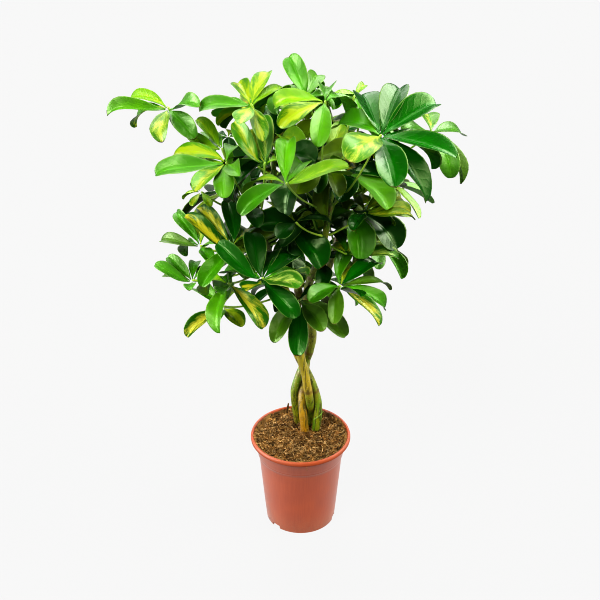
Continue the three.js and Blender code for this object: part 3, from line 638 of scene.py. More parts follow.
husk, tree, surface = new_material("coir husk", Roughness=0.95, Specular_IOR_Level=0.15)
place, tone = place_and_tone(tree)
clouds, speckles = clouds_and_speckles(place, 90.0, 1500.0)
shade = mixed(times(clouds, 0.6), tone, HUSK["cloud"], "MULTIPLY")
shade = mixed(times(speckles, 0.3), shade, HUSK["dust"])
# Painted shade: small dark spots stand for the shade in pits between the fibres.
shade = mixed(mask(noise(place, 300.0), 0.45, 0.36), shade, HUSK["pit_shade"])
feed(surface, {"Base Color": shade, "Normal": bumpy(speckles, 0.0008, 0.8)})
finish_piece(coir, "coir_fill", "soil", husk)
print("material:", husk.name)

# %% [markdown]
# ## The stems
#
# The four stems were braided while they were young and soft, so each is a smooth rod that winds round the
# others. Curves with a bevel could be drawn along the braid by eye. Here the solid of each stem is read
# back instead: it is a stack of eight-sided rings, whose centres and radii give the line exactly.

# %% Read the rings of a stem
RING_SIDES = 8


def merged(node):
    """The distinct vertices of a solid whose triangles are loose, and the neighbours of each of them."""
    places = mesh_places(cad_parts[node])
    keys = np.round(places * 1e5).astype(int)
    _, chosen, index = np.unique(keys, axis=0, return_index=True, return_inverse=True)
    index = index.ravel()
    neighbours = [set() for _ in chosen]
    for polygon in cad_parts[node].data.polygons:
        corners = [int(index[i]) for i in polygon.vertices]
        for a, b in zip(corners, corners[1:] + corners[:1]):
            neighbours[a].add(b)
            neighbours[b].add(a)
    return places[chosen], neighbours


def rings_from(neighbours, ring):
    """Layers of vertices, walked from a first ring along the edges of the solid."""
    rings, known = [sorted(ring)], set(ring)
    while True:
        fresh = set().union(*(neighbours[i] for i in rings[-1])) - known
        if len(fresh) != len(ring):
            return rings
        rings.append(sorted(fresh))
        known |= fresh


def stem_rings(node):
    """The centre and the radius of each ring of a stem, from the foot up."""
    points, neighbours = merged(node)
    lowest = [int(i) for i in np.argsort(points[:, 2])[:RING_SIDES]]
    rings = [points[ring] for ring in rings_from(neighbours, lowest)]
    centres = np.array([ring.mean(axis=0) for ring in rings])
    radii = [np.linalg.norm(ring - centre, axis=1).mean() for ring, centre in zip(rings, centres)]
    return centres, np.array(radii)


stem_lines = {name: stem_rings(name) for name in stem_nodes}
for name, (centres, radii) in stem_lines.items():
    print(name, "rings:", len(radii), "from", centres[0].round(3), "to", centres[-1].round(3))

# %% [markdown]
# A finely divided cylinder is modelled once and bent along each line. A Curve modifier could bend it, but
# it twists where a line turns upward. Two directions carried along the line from point to point don't.

# %% Rod
STEM_SIDES = 20
STEM_BANDS = 120


def make_rod(sides, cuts):
    """A closed rod of radius 1 along Z from 0 to 1, divided into cuts + 1 bands."""
    select_nothing()
    bpy.ops.mesh.primitive_cylinder_add(vertices=sides, radius=1, depth=1, end_fill_type="NGON",
                                        location=(0, 0, 0.5))
    rod = bpy.context.object
    bpy.ops.object.transform_apply(location=True, rotation=True, scale=True)
    bpy.ops.object.mode_set(mode="EDIT")
    for cut in range(1, cuts + 1):
        bpy.ops.mesh.select_all(action="SELECT")
        bpy.ops.mesh.bisect(plane_co=(0, 0, cut / (cuts + 1)), plane_no=(0, 0, 1))
    bpy.ops.object.mode_set(mode="OBJECT")
    select_only(rod)
    bpy.ops.object.shade_smooth()
    return rod


stem_rod = make_rod(STEM_SIDES, STEM_BANDS)
print("stem rod:", len(stem_rod.data.polygons), "faces")

# %% Bend a rod along a line
def unit(vector):
    return vector / np.linalg.norm(vector, axis=-1, keepdims=True)


def carried_frames(line):
    """Two directions across the line at each of its points, carried along so that they don't twist."""
    tangents = unit(np.gradient(line, axis=0))
    across = np.empty_like(line)
    guess = np.array([1.0, 0.2, 0.1])
    for i, tangent in enumerate(tangents):
        guess = unit(guess - tangent * (guess @ tangent))
        across[i] = guess
    return across, np.cross(tangents, across)


def bent_rod(original, line, radii):
    """A copy of a rod along a line that has a point and a radius for each level."""
    rod = own_copy(original)
    places = mesh_places(original)
    across, beside = carried_frames(line)
    level = places[:, 2] * (len(line) - 1)
    low = np.clip(level.astype(int), 0, len(line) - 2)
    share = (level - low)[:, None]
    centre, radius, first, second = (rows[low] * (1 - share) + rows[low + 1] * share
                                     for rows in (line, radii[:, None], across, beside))
    set_places(rod, centre + radius * (places[:, :1] * first + places[:, 1:2] * second))
    return rod


def smooth_line(points, count):
    """Evenly spaced places along a smooth curve through the points."""
    lengths = np.concatenate([[0], np.cumsum(np.linalg.norm(np.diff(points, axis=0), axis=1))])
    spread = np.linspace(0, lengths[-1], count)
    slopes = np.gradient(points, lengths, axis=0)
    span = np.clip(np.searchsorted(lengths, spread, side="right") - 1, 0, len(points) - 2)
    gap = (lengths[span + 1] - lengths[span])[:, None]
    s = (spread[:, None] - lengths[span][:, None]) / gap
    return ((2 * s ** 3 - 3 * s ** 2 + 1) * points[span] + (s ** 3 - 2 * s ** 2 + s) * gap * slopes[span]
            + (3 * s ** 2 - 2 * s ** 3) * points[span + 1] + (s ** 3 - s ** 2) * gap * slopes[span + 1])


line = smooth_line(stem_lines["stem_left"][0], STEM_BANDS)
print("the left stem is", np.linalg.norm(np.diff(line, axis=0), axis=1).sum().round(3), "long")

# %% [markdown]
# Old leaf stalks left a slight ring every few centimetres, and the bark turns from green to yellow and
# brown where it is old. The clefts where stems touch are darkened as painted shade. All of this could be
# painted on by hand, but it follows from the lines: the distance to a ring swells the rod and marks the bark,
# the height picks the tone, and the distance to the other stems darkens it with that painted shade and says
# how far the rod may swell.

# %% Room between the stems
STEM_SWELL = 1.16
CLEFT_REACH = 0.0042


def distance_to(places, line):
    return np.linalg.norm(places[:, None] - line[None], axis=2)


def room_for(name, line):
    """How thick a stem may be at each point of its line before it would press into another one."""
    others = [smooth_line(centres, 400) for other, (centres, _) in stem_lines.items() if other != name]
    return distance_to(line, np.concatenate(others)).min(axis=1) / 2 + 0.0001


def in_the_cleft(name, places):
    """1 where the bark touches another stem, and 0 a few millimetres away."""
    nearness = np.zeros(len(places))
    for other, (centres, radii) in stem_lines.items():
        if other != name:
            gap = distance_to(places, smooth_line(centres, 300)).min(axis=1) - radii.mean() * STEM_SWELL
            nearness = np.maximum(nearness, smooth_step(gap, CLEFT_REACH, 0.0))
    return nearness


for name, (centres, radii) in stem_lines.items():
    print(name, "has room for a radius of", room_for(name, centres).min().round(4), "at its tightest")

# %% Widths and tones of the stems
STEM_TONES = {  # the tone of the bark at some heights
    "stem_left": {0.15: "8a8c14", 0.19: "7c9c0c", 0.28: "6f9a0a", 0.40: "88900e", 0.60: "4d8a10"},
    "stem_right": {0.15: "6e9408", 0.22: "6f9c0a", 0.28: "86980e", 0.33: "b49a10", 0.40: "8f900e",
                   0.60: "4f8410"},
    "stem_middle": {0.15: "5e8a10", 0.21: "74960c", 0.245: "8a9a10", 0.26: "c2a81c", 0.33: "b0a814",
                    0.40: "7c8c10", 0.60: "52800e"},
    "stem_front": {0.15: "c08c1e", 0.22: "bc9414", 0.27: "8a8a12", 0.40: "8c8c0e", 0.60: "558410"},
}


def stem_widths(name, line, radii, uneven):
    """The solid's radii, swollen where there is room and smoothed, times the uneven growth."""
    spread = np.linspace(0, 1, len(line))
    width = np.interp(spread, np.linspace(0, 1, len(radii)), radii)
    width = np.clip(room_for(name, line), width, width * STEM_SWELL)
    return np.convolve(np.pad(width, 4, mode="edge"), np.ones(9) / 9, mode="valid") * uneven


BARK_SHADE = 0.86
CLEFT_SHADE = 0.9


def stem_tones(name, places):
    heights, codes = STEM_TONES[name].keys(), STEM_TONES[name].values()
    stops = np.array([colour(code) for code in codes])
    tones = np.stack([np.interp(places[:, 2], list(heights), stops[:, i]) for i in range(4)], axis=1)
    # Painted shade: the bark is darkened where it comes close to another stem, in the clefts between them.
    tones[:, :3] *= BARK_SHADE * (1 - CLEFT_SHADE * in_the_cleft(name, places)[:, None])
    return tones


print("tones of the bark are set for:", list(STEM_TONES))

# %% Stem pieces
SCAR_SPACING = 0.047
SCAR_SWELL = 0.05
SCAR_SWELL_WIDTH = 0.0022
SCAR_MARK_WIDTH = 0.0016

stems = {}
for number, (name, (centres, radii)) in enumerate(stem_lines.items()):
    line = smooth_line(centres, STEM_BANDS + 2)
    lengths = np.linalg.norm(np.diff(line, axis=0), axis=1).sum() * np.linspace(0, 1, len(line))
    to_scar = np.abs((lengths / SCAR_SPACING + 0.31 * number) % 1 - 0.5) * SCAR_SPACING
    uneven = 1 + SCAR_SWELL * np.exp(-(to_scar / SCAR_SWELL_WIDTH) ** 2)
    uneven = uneven + 0.02 * np.sin(lengths * 160 + number)
    stem = bent_rod(stem_rod, line, stem_widths(name, line, radii, uneven))
    places = mesh_places(stem)
    paint(stem, "tone", stem_tones(name, places))
    nearest = np.argmin(distance_to(places, line), axis=1)
    mark = np.exp(-(to_scar[nearest] / SCAR_MARK_WIDTH) ** 2)
    stem.data.attributes.new("scar", "FLOAT", "POINT").data.foreach_set("value", mark.astype(np.float32))
    stems[name] = stem
bpy.data.objects.remove(stem_rod)
print("stems:", {name: len(stem.data.polygons) for name, stem in stems.items()})

# %% [markdown]
# One stem still has a thin peel of a leaf's sheath, which climbs round it and lifts off at its tip. It
# could be a curve with a flat bevel, but a small grid laid round the stem's line gives its taper as well.

# %% Sheath
SHEATH_HEIGHTS = (0.191, 0.209)
SHEATH_TURNS = np.radians([-150, -25])
SHEATH_WIDTH = 0.0028
SHEATH_LIFT = 0.0028
SHEATH_GAP = 0.0006
SHEATH_THICKNESS = 0.0006
SHEATH_TONE = "8cc850"

select_nothing()
bpy.ops.mesh.primitive_grid_add(x_subdivisions=2, y_subdivisions=10, size=2, location=(0, 0, 0))
sheath = bpy.context.object
apply_modifier(sheath, "SOLIDIFY", thickness=0.5, offset=0)
across, along, above = mesh_places(sheath).T
along = (along + 1) / 2
centres, radii = stem_lines["stem_right"]
height = np.interp(along, [0, 1], SHEATH_HEIGHTS)
turn = np.interp(along, [0, 1], SHEATH_TURNS)
bark_reach = np.interp(height, centres[:, 2], radii) * STEM_SWELL
reach = bark_reach + SHEATH_GAP + SHEATH_LIFT * along ** 3 + 2 * SHEATH_THICKNESS * above
half = SHEATH_WIDTH / 2 * np.sqrt(np.clip(np.sin(math.pi * (0.08 + 0.9 * along)), 0.02, 1))
x, y = (np.interp(height, centres[:, 2], centres[:, i]) for i in range(2))
x, y = x + reach * np.cos(turn), y + reach * np.sin(turn)
set_places(sheath, np.column_stack([x, y, height + across * half]))
paint(sheath, "tone", colour(SHEATH_TONE))
bpy.ops.object.shade_smooth()
stems["stem_right"] = joined([stems["stem_right"], sheath], "stem_right")
print("the sheath's tip is at", (x[-1].round(4), y[-1].round(4), height[-1].round(4)))

# %% [markdown]
# The bark is smooth and silky, with long dark streaks, pale pores and brown scars. Photographs of bark
# would repeat and have seams, so it is drawn by noise, and the place is squashed along Z before the noise
# reads it, which stretches the grain along the stems.

# %% Bark
BARK = {"cloud": "b49a1c", "streak": "3c400c", "pore": "b8a878", "scar": "6e4c1c"}


def squashed(place, factor):
    sockets = {0: place, 1: (1.0, 1.0, factor)}
    return put(tree_of(place), "VectorMath", sockets, operation="MULTIPLY").outputs[0]


bark, tree, surface = new_material("green bark", Roughness=0.5)
place, tone = place_and_tone(tree)
scar = put(tree, "Attribute", attribute_name="scar").outputs["Fac"]
clouds, speckles = clouds_and_speckles(squashed(place, 0.22), 120.0, 900.0)
streaks = mask(noise(squashed(place, 0.12), 260.0), 0.5, 0.62)
pores = mask(noise(place, 420.0, detail=1.0), 0.62, 0.72)
shade = mixed(times(clouds, 0.4), tone, BARK["cloud"])
shade = mixed(times(streaks, 0.75), shade, BARK["streak"])
shade = mixed(times(pores, 0.6), shade, BARK["pore"])
shade = mixed(times(scar, 0.8), shade, BARK["scar"])
feed(surface, {"Base Color": shade, "Normal": bumpy(plus(speckles, times(pores, 1.2)), 0.0003, 0.5)})
for name, stem in stems.items():
    finish_piece(stem, name.replace("stem", "braided_stem"), name, bark)
print("material:", bark.name)

# %% [markdown]
# ## Reading the skeleton of a leaf
#
# A leaf is one stalk with a wheel of leaflets at its end. Drawing 54 of them by eye would not fit the
# solids, so their skeletons are read back. In the solids each leaflet is a thin bent plate with five
# stations, and the only edges as short as the plate is thick are the nine that join its two skins. Those
# are found first. A leaflet's tip is the one that has just two neighbours of its kind, and from there the
# rows are walked back to the hub. What is left over is the stalk.

# %% Find the pairs of the skins
PLATE = 0.0009
PLATE_SLACK = 0.000003
STATIONS = [0, 0.3, 0.62, 0.88, 1]


def skin_pairs(points, neighbours):
    """The short edges between the two skins, and which of them lie side by side."""
    pairs = [(a, b) for a in range(len(points)) for b in neighbours[a]
             if a < b and abs(np.linalg.norm(points[a] - points[b]) - PLATE) < PLATE_SLACK]
    owner = {vertex: number for number, pair in enumerate(pairs) for vertex in pair}
    beside = [{owner[n] for vertex in pair for n in neighbours[vertex] if n in owner} - {number}
              for number, pair in enumerate(pairs)]
    return pairs, beside


points, neighbours = merged(leaf_nodes[0])
print("pairs of", leaf_nodes[0], ":", len(skin_pairs(points, neighbours)[0]))

# %% Walk a leaflet
def walk_leaflet(tip, beside):
    """The pairs on the first and on the last side of a leaflet, from its root to its tip."""
    a, b = sorted(beside[tip], key=lambda pair: len(beside[pair]))
    first = {3: a, 4: tip}
    last = {3: b, 4: tip}
    (first[2],) = (beside[a] & beside[b]) - {tip}
    (last[2],) = beside[b] - {tip, a, first[2]}
    for row in (1, 0):
        above = {first[row + 2], last[row + 2]}
        (first[row],) = (beside[first[row + 1]] & beside[last[row + 1]]) - above
        (last[row],) = beside[last[row + 1]] - {last[row + 2], first[row + 1], first[row]}
    return [first[row] for row in range(5)], [last[row] for row in range(5)]


def read_leaflet(tip, points, pairs, beside):
    """Centres, sides, faces and widths of a leaflet at its stations. Faces may still point either way."""
    first, last = walk_leaflet(tip, beside)
    middles = np.array([points[list(pair)].mean(axis=0) for pair in pairs])
    across = middles[last] - middles[first]
    widths = np.linalg.norm(across, axis=1)
    across[4] = across[3]
    faces = unit(np.array([points[pairs[pair][0]] - points[pairs[pair][1]] for pair in first]))
    for row in range(1, 5):
        if faces[row] @ faces[row - 1] < 0:
            faces[row] = -faces[row]
    return {"centres": (middles[first] + middles[last]) / 2, "sides": unit(across), "faces": faces,
            "widths": widths}


pairs, beside = skin_pairs(points, neighbours)
tip = next(number for number, near in enumerate(beside) if len(near) == 2)
print("widths of one leaflet:", read_leaflet(tip, points, pairs, beside)["widths"].round(4))

# %% Read the leaves
STALK_SIDES_IN_SOLID = 5


def clock(leaflet, hub):
    """Where a leaflet points in the picture, clockwise from straight up, as a share of a turn."""
    across, down = seen_at(leaflet["centres"][4]) - seen_at(hub)
    return math.atan2(across, -down) / (2 * math.pi) % 1


def read_leaf(node):
    """The leaflets of a leaf in clock order, its hub, and the centres of its stalk's rings from the foot."""
    points, neighbours = merged(node)
    pairs, beside = skin_pairs(points, neighbours)
    tips = [number for number, near in enumerate(beside) if len(near) == 2]
    leaflets = [read_leaflet(tip, points, pairs, beside) for tip in tips]
    hub = np.mean([leaflet["centres"][0] for leaflet in leaflets], axis=0)
    taken = {vertex for pair in pairs for vertex in pair}
    stalk = {i for i in range(len(points)) if i not in taken}
    last_ring = sorted(stalk, key=lambda i: np.linalg.norm(points[i] - hub))[:STALK_SIDES_IN_SOLID]
    rings = rings_from([near & stalk for near in neighbours], last_ring)
    return {"leaflets": sorted(leaflets, key=lambda leaflet: clock(leaflet, hub)), "hub": hub,
            "stalk": [points[ring].mean(axis=0) for ring in rings[::-1]]}


leaves = {name: read_leaf(name) for name in leaf_nodes}
print("leaflets:", sum(len(leaf["leaflets"]) for leaf in leaves.values()))

# %% [markdown]
# ## One leaflet
#
# A leaflet is a leathery oval blade, widest past the middle, folded a little along its midrib and slightly
# wavy at the edge. Each could be modelled on its own, but all share one plan, so it is modelled once, flat
# and one unit long: a grid whose rows are slid and scaled to the outline, then given thickness. Its
# underside has its own material slot, since it is paler and duller. It is copied for every leaflet, so it
# has only a few dozen faces, and a Subdivision modifier will round it. A crease on the midrib keeps that
# fold sharp when the rest is rounded.

# %% Leaflet template
BLADE_COLUMNS = 4
BLADE_OUTLINE = [[0.0, 0.07], [0.08, 0.10], [0.16, 0.32], [0.33, 0.70], [0.55, 0.98], [0.75, 1.0],
                 [0.90, 0.77], [0.985, 0.32]]  # share of the length, share of the width
SKIN = 0.5
MIDRIB_CREASE = 0.7

select_nothing()
bpy.ops.mesh.primitive_grid_add(x_subdivisions=BLADE_COLUMNS, y_subdivisions=len(BLADE_OUTLINE) - 1,
                                size=2, location=(0, 0, 0))
template = bpy.context.object


def select_parts(parts, chosen):
    """Selects some of a mesh's vertices or edges and goes into edit mode."""
    bpy.ops.object.mode_set(mode="EDIT")
    bpy.ops.mesh.select_all(action="DESELECT")
    bpy.ops.object.mode_set(mode="OBJECT")
    for part in parts:
        part.select = chosen(part)
    bpy.ops.object.mode_set(mode="EDIT")


for row, (share, width) in enumerate(BLADE_OUTLINE):
    select_parts(template.data.vertices, lambda vertex: vertex.index // (BLADE_COLUMNS + 1) == row)
    old_share = -1 + 2 * row / (len(BLADE_OUTLINE) - 1)
    bpy.ops.transform.translate(value=(0, share - old_share, 0))
    bpy.ops.transform.resize(value=(width, 1, 1), center_override=(0, share, 0))
bpy.ops.object.mode_set(mode="OBJECT")
apply_modifier(template, "SOLIDIFY", thickness=SKIN, offset=0, material_offset=1)
bpy.ops.object.shade_smooth()
template_places = mesh_places(template)
bpy.ops.object.mode_set(mode="EDIT")
bpy.ops.mesh.select_mode(type="EDGE")
select_parts(template.data.edges, lambda edge: all(abs(template_places[i][0]) < 0.001 for i in edge.vertices))
bpy.ops.transform.edge_crease(value=MIDRIB_CREASE)
bpy.ops.mesh.select_mode(type="VERT")
bpy.ops.object.mode_set(mode="OBJECT")
print("leaflet:", len(template.data.polygons), "faces")

# %% [markdown]
# No two leaflets are bent alike. Lattices or sculpting could shape them one by one, but there are hundreds,
# so one function lays the template along the midrib of a solid leaflet and adds what the plate is too
# coarse for: a fold at the midrib, waves towards the edge, a curled tip and a slight twist.

# %% Bend a leaflet along its midrib
BLADE_SKIN = 0.00055


def at_share(values, shares):
    """Values given at the stations, for any shares of the length."""
    return np.stack([np.interp(shares, STATIONS, column) for column in values.T], axis=1)


def midrib_frame(leaflet, along, twist):
    """Centre, side and face of the blade for shares of its length, twisted about the midrib."""
    midrib = np.polyfit(STATIONS, leaflet["centres"], 3)
    centre = np.stack([np.polyval(curve, along) for curve in midrib.T], axis=1)
    slope = unit(np.stack([np.polyval(np.polyder(curve), along) for curve in midrib.T], axis=1))
    side = at_share(leaflet["sides"], along)
    side = unit(side - slope * (side * slope).sum(axis=1, keepdims=True))
    face = np.cross(side, slope)
    face = face * np.sign((face * at_share(leaflet["faces"], along)).sum(axis=1, keepdims=True))
    turn = (twist * smooth_step(along, 0.05, 0.9))[:, None]
    return centre, side * np.cos(turn) + face * np.sin(turn), face * np.cos(turn) - side * np.sin(turn)


def bent_leaflet(leaflet, form):
    """A copy of the template on a leaflet's skeleton, shaped as form says."""
    across, along, above = template_places.T
    along = along ** form["belly"] * form["stretch"]
    centre, side, face = midrib_frame(leaflet, along, form["twist"])
    half = leaflet["widths"].max() / 2 * form["width"]
    length = np.linalg.norm(leaflet["centres"][4] - leaflet["centres"][0])
    reach = np.abs(across)
    opening = smooth_step(along, 0.1, 0.35)
    fold = form["fold"] * (1.15 * reach - 0.2 * reach ** 2 - 0.42) * half * opening
    ripple = np.sin(2 * math.pi * form["waves"] * along + form["phase"] + np.sign(across) * form["shift"])
    wave = form["wave"] * half * reach ** 2 * ripple * opening
    curl = form["curl"] * length * smooth_step(along, 0.72, 1.0) ** 2 * 0.1
    thick = above * BLADE_SKIN / SKIN * (1 + 1.6 * (1 - opening))
    spread = across * half * np.cos(np.arctan(form["fold"]))
    blade = own_copy(template)
    set_places(blade, centre + side * spread[:, None] + face * (fold + wave - curl + thick)[:, None])
    return blade


print("a blade is", BLADE_SKIN, "thick and has", len(template_places), "points")

# %% [markdown]
# ## Leaf looks
#
# The leaves don't share one green. Old ones are dark and glossy, those that grow into the light are lime,
# and this sort is variegated: whole leaflets are splashed with butter yellow or cream along the midrib. A
# random draw for all would miss the leaves that make this plant what it is. So each look names a tone, how
# much of the blade the splash takes, and its colour, the leaves that face the viewer list a look for each
# leaflet, and only the hidden ones draw theirs, by age.

# %% Looks
LOOKS = {  # tone, splash share, splash colour, pale margin share, roughness
    # deep, the darkest green, is old leaves' own colour and partly painted shade for leaflets inside the
    # crown.
    "deep": ("084402", 0.0, "8fae2c", 0.0, 0.28),
    "dark": ("106204", 0.0, "8fae2c", 0.0, 0.21),
    "green": ("4a8c0c", 0.0, "a3b92a", 0.0, 0.30),
    "bright": ("62a40c", 0.0, "b4c832", 0.0, 0.32),
    "lime": ("80b00c", 0.20, "a8c420", 0.0, 0.34),
    "olive": ("748c10", 0.0, "a9b43a", 0.15, 0.34),
    "mellow": ("769c10", 0.36, "b8bc34", 0.2, 0.34),
    "yellow": ("5c960a", 0.56, "a8bc16", 0.0, 0.32),
    "cream": ("58941a", 0.48, "b4c448", 0.15, 0.32),
    "blotched": ("4a8a0e", 0.46, "b0bc2c", 0.1, 0.30),
    "streaked": ("246608", 0.36, "ccc634", 0.0, 0.28),
    "centred": ("347608", 0.56, "ccc84c", 0.0, 0.30),
    "edged": ("44860e", 0.08, "bccc6c", 0.7, 0.32),
    "frosted": ("5c9c30", 0.0, "b9d08c", 0.15, 0.27),
    "grey": ("5c8426", 0.0, "a9b890", 0.0, 0.34),
}
print("looks:", list(LOOKS))

# %% Looks of the leaves that show
SEEN_LOOKS = {  # the leaflets of each leaf, clockwise from straight up as the picture shows them
    "leaf_big_right": "dark dark dark dark dark dark cream green dark",
    "leaf_bottom_front": "deep grey grey dark grey dark",
    "leaf_far_left": "frosted frosted cream blotched bright lime",
    "leaf_far_right": "frosted grey frosted green cream",
    "leaf_front_low": "deep dark edged edged dark streaked green dark deep",
    "leaf_inner_dark": "dark dark deep deep",
    "leaf_inner_left": "deep green",
    "leaf_inner_low": "dark deep deep",
    "leaf_inner_yellow": "lime lime olive olive green lime",
    "leaf_left_bottom": "lime yellow bright centred bright",
    "leaf_left_lime": "lime yellow yellow lime",
    "leaf_left_low": "green frosted frosted grey frosted green",
    "leaf_left_middle": "streaked green bright streaked streaked deep dark",
    "leaf_left_outer": "green frosted grey green blotched",
    "leaf_left_small": "bright lime lime bright lime",
    "leaf_left_yellow": "bright bright bright blotched lime frosted yellow",
    "leaf_low_yellow": "green centred green bright green lime",
    "leaf_right_bottom": "green mellow dark grey green dark centred grey green",
    "leaf_right_dark": "green mellow mellow olive green",
    "leaf_right_low": "mellow edged mellow green mellow green",
    "leaf_right_upper": "mellow mellow mellow mellow dark olive",
    "leaf_top": "frosted frosted bright yellow lime",
    "leaf_top_left": "yellow lime cream cream frosted frosted yellow",
    "leaf_top_right": "lime frosted frosted",
    "leaf_top_upright": "bright frosted bright green",
    "leaf_upright_left": "lime green blotched blotched edged",
    "leaf_young_front": "bright bright lime lime green lime",
    "leaf_young_middle": "deep olive deep olive",
}
for node, looks in SEEN_LOOKS.items():
    if len(looks.split()) != len(leaves[node]["leaflets"]):
        print("other number of leaflets than looks:", node)
print("leaves with listed looks:", len(SEEN_LOOKS))

# %% Pick and paint a look
TONE_SPREAD = (0.8, 1.25)
SPLASH_SPREAD = (0.85, 1.15)
HIDDEN_LOOKS = ["dark", "deep", "green", "olive", "mellow", "lime", "bright", "streaked"]
OLD_ODDS = np.array([0.30, 0.22, 0.20, 0.10, 0.06, 0.02, 0.04, 0.06])
YOUNG_ODDS = np.array([0.10, 0.02, 0.24, 0.10, 0.08, 0.22, 0.20, 0.04])


def pick_look(node, number, hub, draw):
    """The look listed for a leaflet that shows, or one drawn by how high and sunlit, and so how young."""
    if node in SEEN_LOOKS:
        return SEEN_LOOKS[node].split()[number]
    # Leaves inside the crown draw older, darker looks: partly their age, partly painted shade.
    young = smooth_step(hub[2], 0.55, 0.8) * (0.3 if node.startswith("leaf_inside") else 1.0)
    young = max(young, 0.6 * smooth_step(hub[0], 0.06, 0.12))
    odds = OLD_ODDS * (1 - young) + YOUNG_ODDS * young
    return HIDDEN_LOOKS[draw.choice(len(HIDDEN_LOOKS), p=odds / odds.sum())]


def paint_leaflet(blade, look, draw):
    """Keeps the look in three colours: the tone, the splash, and the marks that are plain numbers."""
    tone, share, splash, margin, roughness = LOOKS[look]
    tone = np.array(colour(tone))
    tone[:3] *= draw.uniform(*TONE_SPREAD)
    share = share * draw.uniform(*SPLASH_SPREAD)
    paint(blade, "tone", tone)
    paint(blade, "splash", colour(splash))
    paint(blade, "marks", [share, draw.uniform(0, 1), margin, roughness])


print("odds of the looks of old leaves:", dict(zip(HIDDEN_LOOKS, OLD_ODDS.tolist())))

# %% [markdown]
# ## Leaf materials
#
# Both skins of a leaflet need its veins and its splash, so each is a group that is made once. Veins could
# be modelled, but they are finer than the faces, so they come from the UV map, where U goes across the
# blade and V along it: a pale midrib, and side veins that run forward to the edge.

# %% Vein group
veins, given, result = new_group("leaflet veins", {"UV": (0.0, 0.0, 0.0)},
                                 ["Across", "Midrib", "Veins", "Height"])
u, v, _ = put(veins, "SeparateXYZ", {0: given["UV"]}).outputs
across = calc("ABSOLUTE", minus(times(u, 2.0), 1.0))
midrib_width = plus(times(minus(1.0, v), 0.07), 0.02)
midrib = times(mask(calc("DIVIDE", across, midrib_width), 1.5, 0.5), mask(v, 0.12, 0.3))
forward = minus(times(v, 11.0), times(across, 1.8))
forward = plus(forward, times(noise(given["UV"], 7.0, detail=1.0), 0.7))
ripple = calc("ABSOLUTE", minus(calc("FRACT", forward), 0.5))
side_veins = times(mask(ripple, 0.09, 0.02), mask(across, 1.0, 0.55))
height = minus(times(mask(ripple, 0.0, 0.35), 0.2), plus(times(side_veins, 0.22), midrib))
feed(result, {"Across": across, "Midrib": midrib, "Veins": side_veins, "Height": height})
print("group:", veins.name)

# %% [markdown]
# The splash of a real leaflet starts at the midrib and frays out along the side veins. A ramp across the
# blade would have straight borders, so ragged noise is added to it, and each leaflet reads another part of
# the noise by its own seed. The core takes the full colour, and a fringe round it is halfway. The same
# seed decides which leaflets, about one in five, have a tip that has dried brown.

# %% Splash group
splashes, given, result = new_group("leaf splash", {"UV": (0.0, 0.0, 0.0), "Share": 0.3, "Seed": 0.5},
                                    ["Core", "Fringe", "Dried"])
u, v, _ = put(splashes, "SeparateXYZ", {0: given["UV"]}).outputs
signed = minus(times(u, 2.0), 1.0)
across = calc("ABSOLUTE", signed)
swept = minus(times(v, 2.4), times(across, 0.7))
ragged = joined_axes(splashes, times(signed, 0.9), swept, times(given["Seed"], 40.0))
frayed = joined_axes(splashes, times(signed, 2.0), times(swept, 4.0), times(given["Seed"], 90.0))
patchy = minus(noise(ragged, 1.6, detail=4.0, distortion=0.4), 0.5)
feathers = minus(noise(frayed, 2.2, detail=2.0), 0.5)
level = plus(plus(times(patchy, 2.8), times(feathers, 0.9)), times(given["Share"], 1.15))
level = minus(level, plus(times(across, 0.95), 0.22))
no_splash = minus(1.0, mask(given["Share"], 0.01, 0.05))
level = minus(level, times(no_splash, 9.0))
dried = times(mask(v, 0.95, 1.0), mask(given["Seed"], 0.80, 0.84))
feed(result, {"Core": mask(level, 0.0, 0.16), "Fringe": mask(level, -0.36, -0.06), "Dried": dried})
print("group:", splashes.name)

# %% [markdown]
# The face of a blade is waxy and mottled, with a painted highlight along the midrib and a thin painted rim
# light at the edge, and some tips have dried brown. The underside is dull and greyer. A blade is thin enough
# for light to come through. True scattering is slow for that, so each skin mixes in some Translucent light.
# Low, wide noise in the bump quilts the wax, which breaks the gleams up as on the real leaves.

# %% Shared by both skins
DRIED_TIP = "6b4a20"
LIGHT_THROUGH = "c8d808"
FACE_LIGHT = 0.28
UNDERSIDE_LIGHT = 0.32


def skin_inputs(tree):
    """What both skins of a leaflet read, each thing under its name."""
    place, tone = place_and_tone(tree)
    uv = put(tree, "UVMap", uv_map="UVMap").outputs[0]
    splash, marks = (put(tree, "Attribute", attribute_name=label).outputs for label in ("splash", "marks"))
    share, seed, margin = put(tree, "SeparateColor", {0: marks["Color"]}).outputs
    drawn = put(tree, "Group", {"UV": uv}, node_tree=veins).outputs
    spread = put(tree, "Group", {"UV": uv, "Share": share, "Seed": seed}, node_tree=splashes).outputs
    clouds, speckles = clouds_and_speckles(place, 38.0, 1200.0)
    return {"place": place, "tone": tone, "splash": splash["Color"], "margin": margin,
            "roughness": marks["Alpha"], "clouds": clouds, "speckles": speckles,
            "across": drawn["Across"], "midrib": drawn["Midrib"], "veins": drawn["Veins"],
            "height": drawn["Height"], "core": spread["Core"], "fringe": spread["Fringe"],
            "dried": spread["Dried"]}


def mix_translucent(tree, surface, shade, amount):
    """Lets some of the light through the blade."""
    through = put(tree, "BsdfTranslucent", {"Color": mixed(0.6, shade, LIGHT_THROUGH, "SOFT_LIGHT")})
    blend = put(tree, "MixShader", {0: amount, 1: surface.outputs[0], 2: through.outputs[0]})
    feed(tree.nodes["Material Output"], {"Surface": blend.outputs[0]})


print("colour of the light through a leaf:", [round(share, 3) for share in colour(LIGHT_THROUGH)])

# %% Leaf face
FACE = {"inner": "e8f4a0", "mottle": "a8c870", "vein": "b8d070", "midrib": "c8e080", "rim": "9cc060"}
QUILT_SCALE = 48.0

